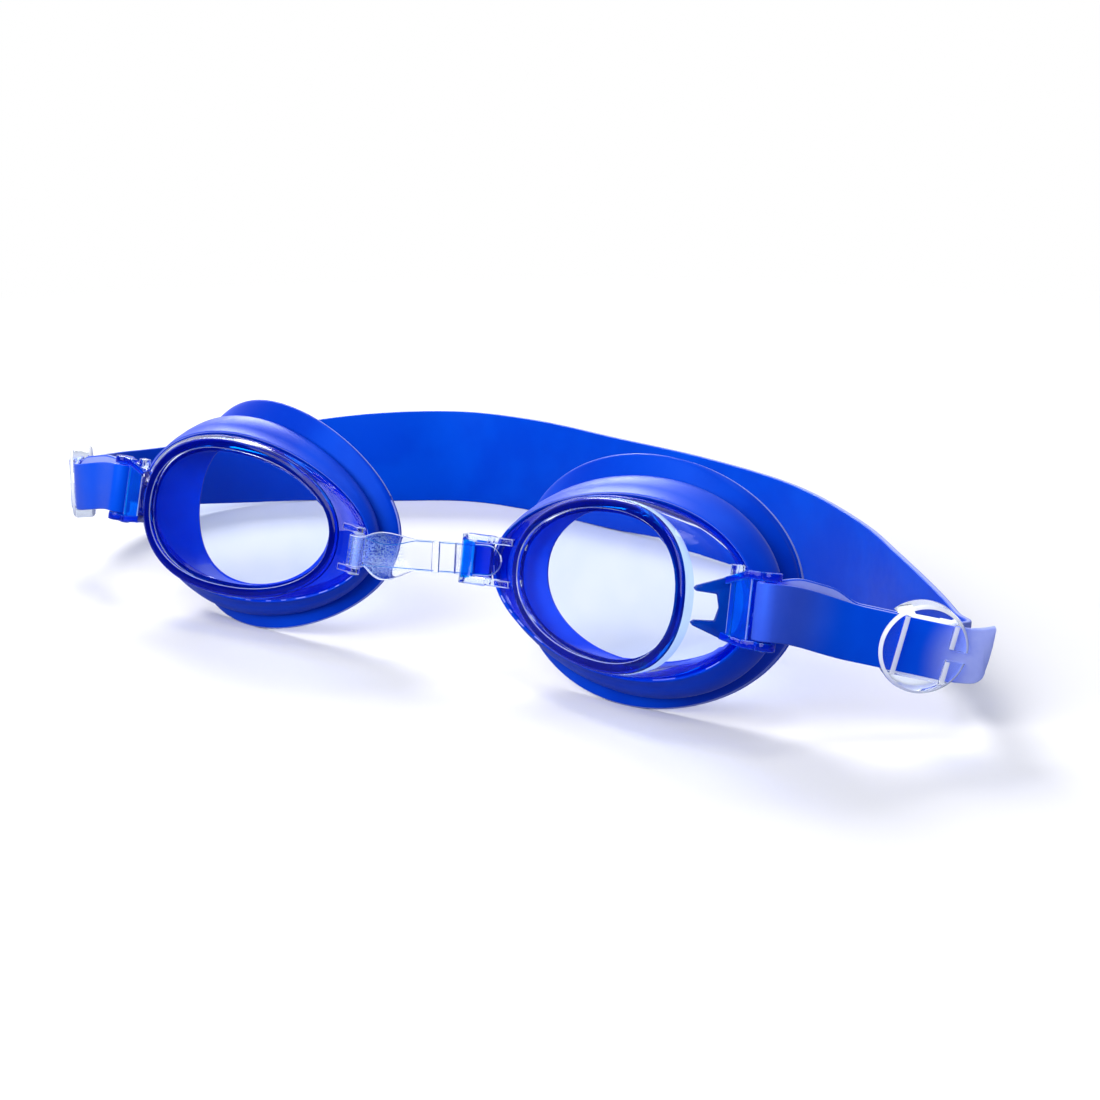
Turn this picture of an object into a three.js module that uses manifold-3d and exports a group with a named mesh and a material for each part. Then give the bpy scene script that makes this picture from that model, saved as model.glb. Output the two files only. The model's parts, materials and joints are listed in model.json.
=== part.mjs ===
// Swim goggles: two moulded eyecups, an adjustable nose bridge and a head strap with two round buckles.
// Millimetres, +Z up. The goggles stand as laid down: on both face seals and on the back of the strap,
// with the lens fronts towards -Y. Left and right are as seen from the front.
import * as THREE from 'three';
import { mergeVertices } from 'three/addons/utils/BufferGeometryUtils.js';
import Module from 'manifold-3d';

const wasm = await Module();
wasm.setup();

// Counts of facets
const ringSegments = 48;
const barSegments = 16;
const bendSteps = 8;
const routeSteps = 4;

// Clearance where one piece seats in or runs on another, and the overrun of cutting tools
const seatGap = 0.3;
const runGap = 0.3;
const overrun = 3;

// Where each eyecup lies, seen from its own lens centre
const eyeSpacing = 84.8;
const cupPitch = THREE.MathUtils.degToRad(11.35);
const cupRoll = THREE.MathUtils.degToRad(-4.44);
const leftCupYaw = THREE.MathUtils.degToRad(6.73);
const rightCupYaw = THREE.MathUtils.degToRad(17.4);

// Lens: flat oval front, flared wall to the temple, rear edge seated in the gasket
const lensHalfWidth = 23.65;
const lensHalfHeight = 15.47;
const lensEdgeInset = 1.2;
const lensEdgeRound = 0.35;
const lensEdgeDepth = 0.8;
const lensWall = 1.65;
const lensSeatDepth = 1.6;
const lensSeatTaper = 0.2;
const lensWallBulge = 0.35;
const wallMiddleShare = 0.5;

// Ovals: power of the curve, and how much taller the temple end is than the nasal end
const ovalPowerShare = 1.99;
const ovalEggShare = 0.1255;
const frontPowerShare = 2.215;
const frontEggShare = 0.117;
const openingPowerShare = 2.1;

// Gasket: collar round the lens, drawn-in neck, wide flared face seal
const collarShift = 0.45;
const collarHalfWidth = 31.36;
const collarHalfHeight = 16.81;
const collarDepth = 4.09;
const collarBow = 1.6;
const collarLeanShare = 0.14;
const collarLip = 1;
const collarBackShift = 0.57;
const collarBackHalfWidth = 31.23;
const collarBackHalfHeight = 19.81;
const collarBackLift = 0.15;
const collarBackDepth = 5.08;
const collarBackBow = 4.04;
const collarBackLeanShare = 0.188;
const rimShift = -1.87;
const rimHalfWidth = 30.79;
const rimHalfHeight = 23;
const rimLift = 0.83;
const rimDepth = 10.03;
const rimBow = 6.99;
const rimLeanShare = 0.274;
const rimThickness = 1.1;
const collarShare = 0.6;
const neckShares = [0.14, 0.34, 0.7];
const neckDrawIn = 2.2;
const flangeDrawIn = 0.9;
const openingShift = 1.71;
const openingHalfWidth = 20.44;
const openingHalfHeight = 14.3;
const openingLift = 0.76;
const openingDepth = 8.7;
const openingBow = 2.55;
const openingLeanShare = 0.292;
const openingRound = 0.6;
const sealHollow = 0.7;
const sealFaceShare = 0.45;

// Head strap: silicone band, wide over the back of the head and narrow at both folded ends
const strapThickness = 1.1;
const strapEdgeRound = 0.28;
const strapNarrow = 10;
const strapWide = 23;
const strapReach = 120;
const strapLayerGap = 0.4;
const strapMergeLength = 9.5;
const tabLength = 14.1;
const tabRise = 1.9;
const tabBend = 5;
const tabSlant = 2.6;
const tabCorner = 1.2;
const tabTip = 0.8;
const layerRise = 1.5;
const innerRunPastBuckle = 3.4;
const buckleTravel = 4;

// Strap post and temple lug on each lens
const postAlong = 36;
const postBack = 8.7;
const postRadius = 1;
const lugArmThickness = 1.4;
const lugArmDepth = 1.8;
const lugBossRadius = 1.9;
const forkThickness = 2;
const forkProud = 0.9;
const forkTipAlong = 24.7;
const forkRootAlong = 27.9;
const forkBarWidth = 1.8;
const forkTipBack = 2.1;
const forkRootBack = 6.2;
const forkDown = 0.5;
const forkHalfHeight = 5.4;
const forkTipHalf = 0.5;
const forkTipSpread = 3;
const forkRootInner = 2.3;
const forkNotchShares = [0.7, 0.8];
const armElbowAlong = 32.6;
const armElbowBack = 7;
const gateWidth = 1.8;
const gateHeight = 2;
const gateDepth = 1.9;
const gateAlong = 29.5;
const gateBack = 7;
const gateUp = 6.3;

// Nose bridge: soft band with a loop at one end and a ribbed tongue at the other
const bandThickness = 0.8;
const bandHeight = 6;
const bandWaist = 4.9;
const padHeight = 9.3;
const padDown = 0.55;
const padStart = 1.7;
const padEnd = 14.6;
const padPeak = 7.8;
const padLip = 0.35;
const ribHeight = 0.55;
const firstRibStart = 16.6;
const secondRibStart = 21.4;
const ribWidth = 1.5;
const tonguePast = 3.6;

// Nasal lugs: one bar on the first lens, a pair of bars on the second
const loopBarRadius = 0.65;
const loopBarAlong = -29.2;
const loopBarBack = -1.1;
const loopBarUp = -0.5;
const lockBarAlong = -29.9;
const lockBarBack = -1.6;
const lockBarUp = 0.3;
const lockBarPitch = 2.8;
const frontBarWidth = 2.6;
const rearBarWidth = 2.4;
const lockBarThickness = 0.9;
const lockGap = 0.55;
const nasalArmThickness = 1.4;
const nasalArmDepth = 1.7;
const nasalRootAlong = -22.4;
const nasalRootBack = 0.85;

// Buckles: round discs, open slot for two strap layers, recessed centre bar
const buckleRadius = 8.1;
const buckleBarThickness = 0.85;
const buckleBevel = 0.45;
const buckleWindowHalf = 4.3;
const buckleCentreBar = 4.6;
const buckleProngGap = 2;
const firstBuckle = new THREE.Vector3(98.2, 19.2, -7.4);
const firstBuckleHeading = THREE.MathUtils.degToRad(40);
const firstBuckleDrop = 0.25;
const secondBuckle = new THREE.Vector3(-107.2, 21, -4.3);
const secondBuckleHeading = THREE.MathUtils.degToRad(134);
const secondBuckleDrop = 0.14;

// Route of the strap round the back, as shares of its reach: across, back, centre height, and its
// width as a share of the step from narrow to wide
const strapRouteShares = [
  [0.846, 0.216, -0.077, 0],
  [0.84, 0.277, -0.091, 0.01],
  [0.79, 0.35, -0.106, 0.05],
  [0.733, 0.408, -0.1, 0.12],
  [0.6, 0.542, -0.098, 0.32],
  [0.458, 0.692, -0.106, 0.52],
  [0.25, 0.833, -0.105, 0.72],
  [0.017, 0.908, -0.103, 0.85],
  [-0.2, 0.95, -0.104, 0.95],
  [-0.43, 0.995, -0.103, 1],
  [-0.6, 0.988, -0.103, 1],
  [-0.735, 0.905, -0.104, 0.98],
  [-0.867, 0.82, -0.112, 0.82],
  [-0.965, 0.69, -0.117, 0.58],
  [-1.005, 0.52, -0.104, 0.33],
  [-0.985, 0.35, -0.071, 0.09],
];

const lensPlastic = new THREE.MeshStandardMaterial({
  color: 0xbcd6ff, roughness: 0.06, transparent: true, opacity: 0.4,
});
const sealSilicone = new THREE.MeshStandardMaterial({ color: 0x0a3fe0, roughness: 0.42 });
const strapSilicone = new THREE.MeshStandardMaterial({ color: 0x0b45ea, roughness: 0.5 });
const bridgePlastic = new THREE.MeshStandardMaterial({
  color: 0xeef3ff, roughness: 0.2, transparent: true, opacity: 0.5,
});
const bucklePlastic = new THREE.MeshStandardMaterial({
  color: 0xf4f6fa, roughness: 0.08, transparent: true, opacity: 0.5,
});

// Solids from closed geometry, and geometry from solids
function toSolid(geometry) {
  const bare = geometry.clone();
  bare.deleteAttribute('normal');
  bare.deleteAttribute('uv');
  const welded = mergeVertices(bare);
  return new wasm.Manifold(new wasm.Mesh({
    numProp: 3,
    vertProperties: new Float32Array(welded.attributes.position.array),
    triVerts: new Uint32Array(welded.index.array),
  }));
}

function toGeometry(solid) {
  const mesh = solid.getMesh();
  const geometry = new THREE.BufferGeometry();
  geometry.setAttribute('position', new THREE.BufferAttribute(new Float32Array(mesh.vertProperties), 3));
  geometry.setIndex(new THREE.BufferAttribute(new Uint32Array(mesh.triVerts), 1));
  geometry.computeVertexNormals();
  return geometry;
}

// Six times the volume that a triangle list encloses, to tell whether its faces point out
function signedVolume(points, triangles) {
  let total = 0;
  for (const [a, b, c] of triangles) {
    total += points[a].dot(new THREE.Vector3().crossVectors(points[b], points[c]));
  }
  return total;
}

function closedSkin(points, triangles) {
  const outward = signedVolume(points, triangles) > 0;
  const geometry = new THREE.BufferGeometry();
  geometry.setFromPoints(points);
  geometry.setIndex(triangles.flatMap(([a, b, c]) => (outward ? [a, b, c] : [a, c, b])));
  return geometry;
}

// A skin over rings of equal point counts: capped at both ends, or closed on itself like a tyre
function loft(rings, closesOnItself) {
  const count = rings[0].length;
  const points = rings.flat();
  const triangles = [];
  const bands = closesOnItself ? rings.length : rings.length - 1;
  for (let r = 0; r < bands; r += 1) {
    const near = r * count;
    const far = ((r + 1) % rings.length) * count;
    for (let i = 0; i < count; i += 1) {
      const next = (i + 1) % count;
      triangles.push([near + i, near + next, far + next], [near + i, far + next, far + i]);
    }
  }
  if (!closesOnItself) {
    for (const [start, turn] of [[0, 1], [(rings.length - 1) * count, -1]]) {
      const middle = new THREE.Vector3();
      for (let i = 0; i < count; i += 1) middle.add(points[start + i]);
      points.push(middle.divideScalar(count));
      for (let i = 0; i < count; i += 1) {
        const a = start + i;
        const b = start + ((i + 1) % count);
        triangles.push(turn > 0 ? [points.length - 1, b, a] : [points.length - 1, a, b]);
      }
    }
  }
  return closedSkin(points, triangles);
}

// An egg-shaped oval of the eyecup. Its depth leans and bows along the cup's width.
function oval(values) {
  return {
    shift: 0, lift: 0, leanShare: 0, bow: 0, powerShare: ovalPowerShare, eggShare: ovalEggShare, ...values,
  };
}

function ovalPoints(ring) {
  const points = [];
  for (let i = 0; i < ringSegments; i += 1) {
    const angle = (2 * Math.PI * i) / ringSegments;
    const c = Math.cos(angle);
    const s = Math.sin(angle);
    const across = Math.sign(c) * Math.abs(c) ** (2 / ring.powerShare);
    const up = Math.sign(s) * Math.abs(s) ** (2 / ring.powerShare) * (1 + ring.eggShare * c);
    const x = ring.shift + ring.halfWidth * across;
    const y = ring.depth + ring.leanShare * x + ring.bow * (x / ring.halfWidth) ** 2;
    points.push(new THREE.Vector3(x, y, ring.lift + ring.halfHeight * up));
  }
  return points;
}

// The oval a share of the way from one to another, moved outward and back
function between(from, to, share, outward, backward) {
  const mixed = {};
  for (const key of Object.keys(from)) mixed[key] = THREE.MathUtils.lerp(from[key], to[key], share);
  mixed.halfWidth += outward;
  mixed.halfHeight += outward;
  mixed.depth += backward;
  return mixed;
}

const moved = (ring, outward, backward) => between(ring, ring, 0, outward, backward);

const lensFront = oval({
  halfWidth: lensHalfWidth, halfHeight: lensHalfHeight, depth: 0,
  powerShare: frontPowerShare, eggShare: frontEggShare,
});
const collarFront = oval({
  shift: collarShift, halfWidth: collarHalfWidth, halfHeight: collarHalfHeight,
  depth: collarDepth, leanShare: collarLeanShare, bow: collarBow,
});
const collarBack = oval({
  shift: collarBackShift, halfWidth: collarBackHalfWidth, halfHeight: collarBackHalfHeight,
  lift: collarBackLift, depth: collarBackDepth, leanShare: collarBackLeanShare, bow: collarBackBow,
});
const sealRim = oval({
  shift: rimShift, halfWidth: rimHalfWidth, halfHeight: rimHalfHeight, lift: rimLift, depth: rimDepth,
  leanShare: rimLeanShare, bow: rimBow,
});
const eyeOpening = oval({
  shift: openingShift, halfWidth: openingHalfWidth, halfHeight: openingHalfHeight, lift: openingLift,
  depth: openingDepth, leanShare: openingLeanShare, bow: openingBow, powerShare: openingPowerShare,
});
const lensSeat = moved(collarFront, -collarLip, 0);
const lensRear = moved(lensSeat, -lensSeatTaper, lensSeatDepth);

// Lens shell, in the cup's own frame: x to the temple, y back to the face, z up
function lensShell() {
  const edge = moved(lensFront, 0, lensEdgeDepth);
  const rings = [
    moved(lensFront, -lensEdgeInset, 0),
    moved(lensFront, -lensEdgeRound, lensEdgeRound / 2),
    edge,
    between(edge, lensSeat, wallMiddleShare, lensWallBulge, 0),
    lensSeat,
    lensRear,
    moved(lensRear, -lensWall, 0),
    moved(lensSeat, -lensWall, lensSeatDepth / 2),
    moved(lensFront, -lensWall, lensWall + lensEdgeRound),
    moved(lensFront, -lensWall - lensEdgeInset, lensWall),
  ];
  return toSolid(loft(rings.map(ovalPoints), false));
}

// Gasket, closed on itself: over the collar, into the neck, out to the rim, back in to the eye opening
function gasketGeometry() {
  const rings = [
    moved(lensSeat, seatGap, 0),
    moved(collarFront, -collarLip / 3, -collarLip / 4),
    moved(collarFront, 0, collarLip / 4),
    between(collarFront, collarBack, collarShare, collarLip / 4, 0),
    collarBack,
    between(collarBack, sealRim, neckShares[0], -neckDrawIn / 2, 0),
    between(collarBack, sealRim, neckShares[1], -neckDrawIn, 0),
    between(collarBack, sealRim, neckShares[2], -flangeDrawIn, 0),
    sealRim,
    moved(sealRim, -rimThickness / 4, rimThickness),
    between(sealRim, eyeOpening, sealFaceShare, 0, rimThickness - sealHollow),
    moved(eyeOpening, openingRound / 2, openingRound),
    eyeOpening,
    moved(eyeOpening, openingRound / 2, -openingRound / 3),
    moved(lensRear, -lensWall, seatGap),
    moved(lensRear, seatGap, seatGap),
  ];
  return loft(rings.map(ovalPoints), true);
}

// A bent strip of even thickness through points, as an outline in the cup's plan
function stripShape(path, half) {
  const left = [];
  const right = [];
  path.forEach((point, i) => {
    const before = path[Math.max(i - 1, 0)];
    const after = path[Math.min(i + 1, path.length - 1)];
    const along = after.clone().sub(before).normalize();
    const side = new THREE.Vector2(-along.y, along.x).multiplyScalar(half);
    left.push(point.clone().add(side));
    right.push(point.clone().sub(side));
  });
  return new THREE.Shape([...left, ...right.reverse()]);
}

// An outline in the plan (x across, y back) drawn up between two heights
function planGeometry(shape, low, high) {
  const geometry = new THREE.ExtrudeGeometry(shape, { depth: high - low, bevelEnabled: false });
  return geometry.translate(0, 0, low);
}

// An upright round bar
function uprightBar(x, y, radius, low, high) {
  const geometry = new THREE.CylinderGeometry(radius, radius, high - low, barSegments);
  geometry.rotateX(Math.PI / 2);
  geometry.translate(x, y, (low + high) / 2);
  return toSolid(geometry);
}

function block(low, high) {
  const size = new THREE.Vector3().subVectors(high, low);
  const geometry = new THREE.BoxGeometry(size.x, size.y, size.z);
  geometry.translate(low.x + size.x / 2, low.y + size.y / 2, low.z + size.z / 2);
  return toSolid(geometry);
}

// Shift the part of an arm nearer the middle of the face up or down
function drawnIn(geometry, from, rise) {
  const position = geometry.attributes.position;
  for (let i = 0; i < position.count; i += 1) {
    if (position.getX(i) < from) position.setZ(i, position.getZ(i) + rise);
  }
  return geometry;
}

// Temple lug: a fork moulded on the wall, two arms and the round strap post between them
function templeLug() {
  const inner = strapNarrow / 2 + runGap;
  const outer = inner + lugArmThickness;
  const wallAngle = Math.atan2(forkRootBack - forkTipBack, forkRootAlong - forkTipAlong);
  const slant = Math.hypot(forkRootBack - forkTipBack, forkRootAlong - forkTipAlong);
  const [notchShare, middleShare] = forkNotchShares;
  const fork = new THREE.Shape([
    new THREE.Vector2(0, forkTipSpread - forkTipHalf),
    new THREE.Vector2(slant * notchShare, forkRootInner),
    new THREE.Vector2(slant * middleShare, 0),
    new THREE.Vector2(slant * notchShare, -forkRootInner),
    new THREE.Vector2(0, -forkTipSpread + forkTipHalf),
    new THREE.Vector2(-forkTipHalf, -forkTipSpread),
    new THREE.Vector2(0, -forkTipSpread - forkTipHalf),
    new THREE.Vector2(slant, -forkHalfHeight),
    new THREE.Vector2(slant + forkBarWidth, -forkHalfHeight),
    new THREE.Vector2(slant + forkBarWidth, forkHalfHeight),
    new THREE.Vector2(slant, forkHalfHeight),
    new THREE.Vector2(0, forkTipSpread + forkTipHalf),
    new THREE.Vector2(-forkTipHalf, forkTipSpread),
  ]);
  const forkPlate = new THREE.ExtrudeGeometry(fork, { depth: forkThickness, bevelEnabled: false });
  forkPlate.rotateX(Math.PI / 2);
  forkPlate.translate(0, forkThickness - forkProud, 0);
  forkPlate.rotateZ(wallAngle);
  forkPlate.translate(forkTipAlong, forkTipBack, -forkDown);
  let lug = toSolid(forkPlate);
  const root = new THREE.Vector2(forkRootAlong, forkRootBack);
  const elbow = new THREE.Vector2(armElbowAlong, armElbowBack);
  const post = new THREE.Vector2(postAlong, postBack);
  const half = lugArmDepth / 2;
  for (const side of [-1, 1]) {
    const low = Math.min(side * inner, side * outer);
    const high = Math.max(side * inner, side * outer);
    const rise = side * (forkHalfHeight - outer) - forkDown;
    const sloping = planGeometry(stripShape([root, elbow], half), low, high);
    lug = lug
      .add(toSolid(drawnIn(sloping, (root.x + elbow.x) / 2, rise)))
      .add(uprightBar(elbow.x, elbow.y, half, low, high))
      .add(toSolid(planGeometry(stripShape([elbow, post], half), low, high)))
      .add(uprightBar(postAlong, postBack, lugBossRadius, low, high));
  }
  lug = lug.add(uprightBar(postAlong, postBack, postRadius, -outer, outer));
  const gateHalf = new THREE.Vector3(gateWidth / 2, gateDepth / 2, gateHeight / 2);
  const gate = new THREE.Vector3(gateAlong, gateBack, gateUp);
  return lug.add(block(gate.clone().sub(gateHalf), gate.clone().add(gateHalf)));
}

const nasalInner = bandHeight / 2 + runGap;
const nasalOuter = nasalInner + nasalArmThickness;

// A pair of arms that leave the nasal side of the lens along a path in plan
function nasalArms(path, half, middleUp) {
  const lower = planGeometry(stripShape(path, half), middleUp - nasalOuter, middleUp - nasalInner);
  const upper = planGeometry(stripShape(path, half), middleUp + nasalInner, middleUp + nasalOuter);
  return toSolid(lower).add(toSolid(upper));
}

// Single bar, for the looped end of the nose bridge
function loopLug() {
  const path = [
    new THREE.Vector2(nasalRootAlong, nasalRootBack),
    new THREE.Vector2((nasalRootAlong + loopBarAlong) / 2, nasalRootBack / 2),
    new THREE.Vector2(loopBarAlong, loopBarBack),
  ];
  let lug = nasalArms(path, nasalArmDepth / 2, loopBarUp);
  for (const low of [loopBarUp - nasalOuter, loopBarUp + nasalInner]) {
    const high = low + nasalArmThickness;
    lug = lug.add(uprightBar(loopBarAlong, loopBarBack, nasalArmDepth / 2 + seatGap, low, high));
  }
  return lug.add(uprightBar(
    loopBarAlong, loopBarBack, loopBarRadius, loopBarUp - nasalOuter, loopBarUp + nasalOuter,
  ));
}

// A flat bar with rounded edges, set across the bridge's line at a distance in front of or behind it
function lockBar(centre, along, width, offset) {
  const radius = lockBarThickness / 2;
  const back = new THREE.Vector2(-along.y, along.x);
  const middle = centre.clone().addScaledVector(back, offset);
  const half = width / 2 - radius;
  const heading = Math.atan2(along.y, along.x);
  const shape = new THREE.Shape();
  shape.absarc(half, 0, radius, -Math.PI / 2, Math.PI / 2, false);
  shape.absarc(-half, 0, radius, Math.PI / 2, (3 * Math.PI) / 2, false);
  const geometry = new THREE.ExtrudeGeometry(shape, {
    depth: 2 * nasalOuter, bevelEnabled: false, curveSegments: barSegments / 4,
  });
  geometry.translate(0, 0, lockBarUp - nasalOuter);
  geometry.rotateZ(heading);
  geometry.translate(middle.x, middle.y, 0);
  return toSolid(geometry);
}

// Two bars in a bent frame: the tongue runs behind the first bar and in front of the second
function lockLug(along) {
  const rear = new THREE.Vector2(lockBarAlong, lockBarBack);
  const front = rear.clone().addScaledVector(along, -lockBarPitch);
  const offset = bandThickness / 2 + lockGap + lockBarThickness / 2;
  const half = offset + lockBarThickness / 2;
  const root = [
    new THREE.Vector2(nasalRootAlong, nasalRootBack),
    rear.clone().addScaledVector(along, rearBarWidth / 2),
  ];
  const frame = [
    rear.clone().addScaledVector(along, rearBarWidth / 2),
    front.clone().addScaledVector(along, -frontBarWidth / 2),
  ];
  return nasalArms(root, nasalArmDepth / 2, lockBarUp)
    .add(nasalArms(frame, half, lockBarUp))
    .add(lockBar(front, along, frontBarWidth, -offset))
    .add(lockBar(rear, along, rearBarWidth, offset));
}

// Mirror a solid from one side of the face to the other
function mirrored(geometry) {
  const flipped = geometry.clone().scale(-1, 1, 1);
  const order = flipped.index.array.slice();
  for (let i = 0; i < order.length; i += 3) [order[i + 1], order[i + 2]] = [order[i + 2], order[i + 1]];
  flipped.setIndex(new THREE.BufferAttribute(order, 1));
  return flipped;
}

function named(name, geometry, material) {
  const mesh = new THREE.Mesh(geometry, material);
  mesh.name = name;
  return mesh;
}

// Both eyecups are groups, so that posts and bars are known in the goggles' frame
const goggles = new THREE.Group();
const rightEyecup = new THREE.Group();
rightEyecup.position.set(eyeSpacing / 2, 0, 0);
rightEyecup.rotation.set(-cupPitch, cupRoll, -rightCupYaw, 'ZXY');
const leftEyecup = new THREE.Group();
leftEyecup.position.set(-eyeSpacing / 2, 0, 0);
leftEyecup.rotation.set(-cupPitch, -cupRoll, leftCupYaw, 'ZXY');
goggles.add(rightEyecup, leftEyecup);
goggles.updateMatrixWorld(true);

const upRight = new THREE.Vector3(0, 0, 1).applyQuaternion(rightEyecup.quaternion);
const upLeft = new THREE.Vector3(0, 0, 1).applyQuaternion(leftEyecup.quaternion);
const rightPost = rightEyecup.localToWorld(new THREE.Vector3(postAlong, postBack, 0));
const leftPost = leftEyecup.localToWorld(new THREE.Vector3(-postAlong, postBack, 0));
const loopBar = leftEyecup.localToWorld(new THREE.Vector3(-loopBarAlong, loopBarBack, loopBarUp));
const rearLockBar = rightEyecup.localToWorld(new THREE.Vector3(lockBarAlong, lockBarBack, lockBarUp));

// The bridge runs straight from the loop bar to the rear lock bar
const bridgeAlong = new THREE.Vector3().subVectors(rearLockBar, loopBar);
const bridgeLength = bridgeAlong.length();
bridgeAlong.normalize();
const bridgeInCup = bridgeAlong.clone().applyQuaternion(rightEyecup.quaternion.clone().invert());
const lockAlong = new THREE.Vector2(bridgeInCup.x, bridgeInCup.y).normalize();

const shell = lensShell().add(templeLug());
const seal = gasketGeometry();
rightEyecup.add(
  named('right_lens', toGeometry(shell.add(lockLug(lockAlong))), lensPlastic),
  named('right_gasket', seal, sealSilicone),
);
leftEyecup.add(
  named('left_lens', mirrored(toGeometry(shell.add(loopLug()))), lensPlastic),
  named('left_gasket', mirrored(seal), sealSilicone),
);

// A frame from a direction along the piece and a rough up direction: x along, y back, z up
function pieceFrame(origin, along, up) {
  const back = new THREE.Vector3().crossVectors(up, along).normalize();
  const across = new THREE.Vector3().crossVectors(back, up).normalize();
  return new THREE.Matrix4().makeBasis(across, back, up.clone().normalize()).setPosition(origin);
}

// The band lies between both cups' up directions, while its loop follows the bar of the left lens
const bridgeUp = upLeft.clone().add(upRight).projectOnPlane(bridgeAlong);
const bridgeFrame = pieceFrame(loopBar, bridgeAlong, bridgeUp);
const loopTurn = bridgeFrame.clone().invert().multiply(pieceFrame(loopBar, bridgeAlong, upLeft));

// Nose bridge, x along the band from the loop bar, y back, z up
function bridgeGeometry() {
  const length = bridgeLength + tonguePast;
  const half = bandHeight / 2;
  const waist = bandWaist / 2;
  const peak = padHeight / 2;
  const outline = new THREE.Shape();
  outline.moveTo(0, -half);
  outline.lineTo(padStart, -half);
  outline.quadraticCurveTo((padStart + padPeak) / 2, -peak - padDown, padPeak, -peak - padDown);
  outline.quadraticCurveTo((padEnd + padPeak) / 2, -peak - padDown, padEnd, -half);
  outline.lineTo(length - half, -half);
  outline.absarc(length - half, 0, half, -Math.PI / 2, Math.PI / 2, false);
  outline.lineTo(padEnd, half);
  outline.quadraticCurveTo((padEnd + padPeak) / 2, peak - padDown, padPeak, peak - padDown);
  outline.quadraticCurveTo((padStart + padPeak) / 2, peak - padDown, padStart, half);
  outline.lineTo(0, half);
  const plate = new THREE.ExtrudeGeometry(outline, {
    depth: bandThickness, bevelEnabled: false, curveSegments: bendSteps,
  });
  plate.rotateX(Math.PI / 2);
  plate.translate(0, bandThickness / 2, 0);
  const loopInner = loopBarRadius + runGap;
  const loopOuter = loopInner + bandThickness;
  let band = toSolid(plate).add(uprightBar(0, 0, loopOuter, -half, half).transform(loopTurn.elements));
  for (const side of [-1, 1]) {
    const lip = block(
      new THREE.Vector3(padStart + padLip, -bandThickness / 2 - padLip, side > 0 ? waist : -waist - padLip),
      new THREE.Vector3(padEnd, bandThickness / 2, side > 0 ? waist + padLip : -waist),
    );
    band = band.add(lip);
  }
  for (const start of [firstRibStart, secondRibStart]) {
    band = band.add(block(
      new THREE.Vector3(start, -bandThickness / 2 - ribHeight, -half),
      new THREE.Vector3(start + ribWidth, bandThickness / 2, half),
    ));
  }
  const hole = uprightBar(0, 0, loopInner, -half - overrun, half + overrun);
  return toGeometry(band.subtract(hole.transform(loopTurn.elements)));
}

const bridge = named('nose_bridge', bridgeGeometry(), bridgePlastic);
bridge.applyMatrix4(bridgeFrame);
goggles.add(bridge);

// Buckle, x along the strap away from the lens, y towards the head, z up
const slotHalf = strapThickness + strapLayerGap / 2 + runGap;
const buckleHalfThickness = slotHalf + buckleBarThickness;

function buckleGeometry() {
  const profile = [
    new THREE.Vector2(0, -buckleHalfThickness),
    new THREE.Vector2(buckleRadius - buckleBevel, -buckleHalfThickness),
    new THREE.Vector2(buckleRadius, -buckleHalfThickness + buckleBevel),
    new THREE.Vector2(buckleRadius, buckleHalfThickness - buckleBevel),
    new THREE.Vector2(buckleRadius - buckleBevel, buckleHalfThickness),
    new THREE.Vector2(0, buckleHalfThickness),
  ];
  let disc = toSolid(new THREE.LatheGeometry(profile, ringSegments));
  const reach = buckleRadius + overrun;
  const high = strapNarrow / 2 + runGap;
  const front = -buckleHalfThickness - overrun;
  const back = buckleHalfThickness + overrun;
  const bar = buckleCentreBar / 2;
  const cuts = [
    [new THREE.Vector3(-reach, -slotHalf, -high), new THREE.Vector3(reach, slotHalf, high)],
    [new THREE.Vector3(-buckleWindowHalf, front, -high), new THREE.Vector3(buckleWindowHalf, 0, high)],
    [new THREE.Vector3(-reach, 0, -high), new THREE.Vector3(-bar, back, high)],
    [new THREE.Vector3(bar, 0, -high), new THREE.Vector3(reach, back, high)],
    [new THREE.Vector3(0, front, -buckleProngGap / 2), new THREE.Vector3(reach, 0, buckleProngGap / 2)],
  ];
  for (const [low, top] of cuts) disc = disc.subtract(block(low, top));
  return toGeometry(disc);
}

const headingVector = (angle, drop) => new THREE.Vector3(Math.cos(angle), Math.sin(angle), -drop).normalize();
const vertical = new THREE.Vector3(0, 0, 1);

// One folded end of the strap: where the post and the buckle are, and which way the strap runs there
function foldedEnd(post, postUp, buckle, along, mirrorSide) {
  const straightStart = buckle.clone().addScaledVector(along, -buckleRadius - buckleTravel);
  const leaving = new THREE.Vector3().subVectors(straightStart, post);
  const reach = leaving.length() / 3;
  leaving.projectOnPlane(postUp).setLength(reach);
  const curve = new THREE.CubicBezierCurve3(
    post, post.clone().add(leaving), straightStart.clone().addScaledVector(along, -reach), straightStart,
  );
  const curved = curve.getLength();
  const wrapRadius = postRadius + runGap + strapThickness / 2;
  const layerHalf = (strapThickness + strapLayerGap) / 2;
  const stations = [];
  const addStation = (point, tangent, travelled, blend) => {
    const up = postUp.clone().lerp(vertical, blend).normalize();
    const out = new THREE.Vector3().crossVectors(tangent, up).normalize().multiplyScalar(mirrorSide);
    const merge = THREE.MathUtils.smoothstep(travelled, 0, strapMergeLength);
    const half = THREE.MathUtils.lerp(wrapRadius, layerHalf, merge);
    const rise = layerRise * Math.sin(Math.PI * Math.min(1, travelled / curved)) ** 2;
    stations.push({ point, up, out, half, rise, tangent });
  };
  for (let i = 0; i < bendSteps; i += 1) {
    const share = i / bendSteps;
    addStation(curve.getPoint(share), curve.getTangent(share), curved * share, share);
  }
  addStation(straightStart, along, curved, 1);
  return { stations, wrapRadius, layerHalf };
}

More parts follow.
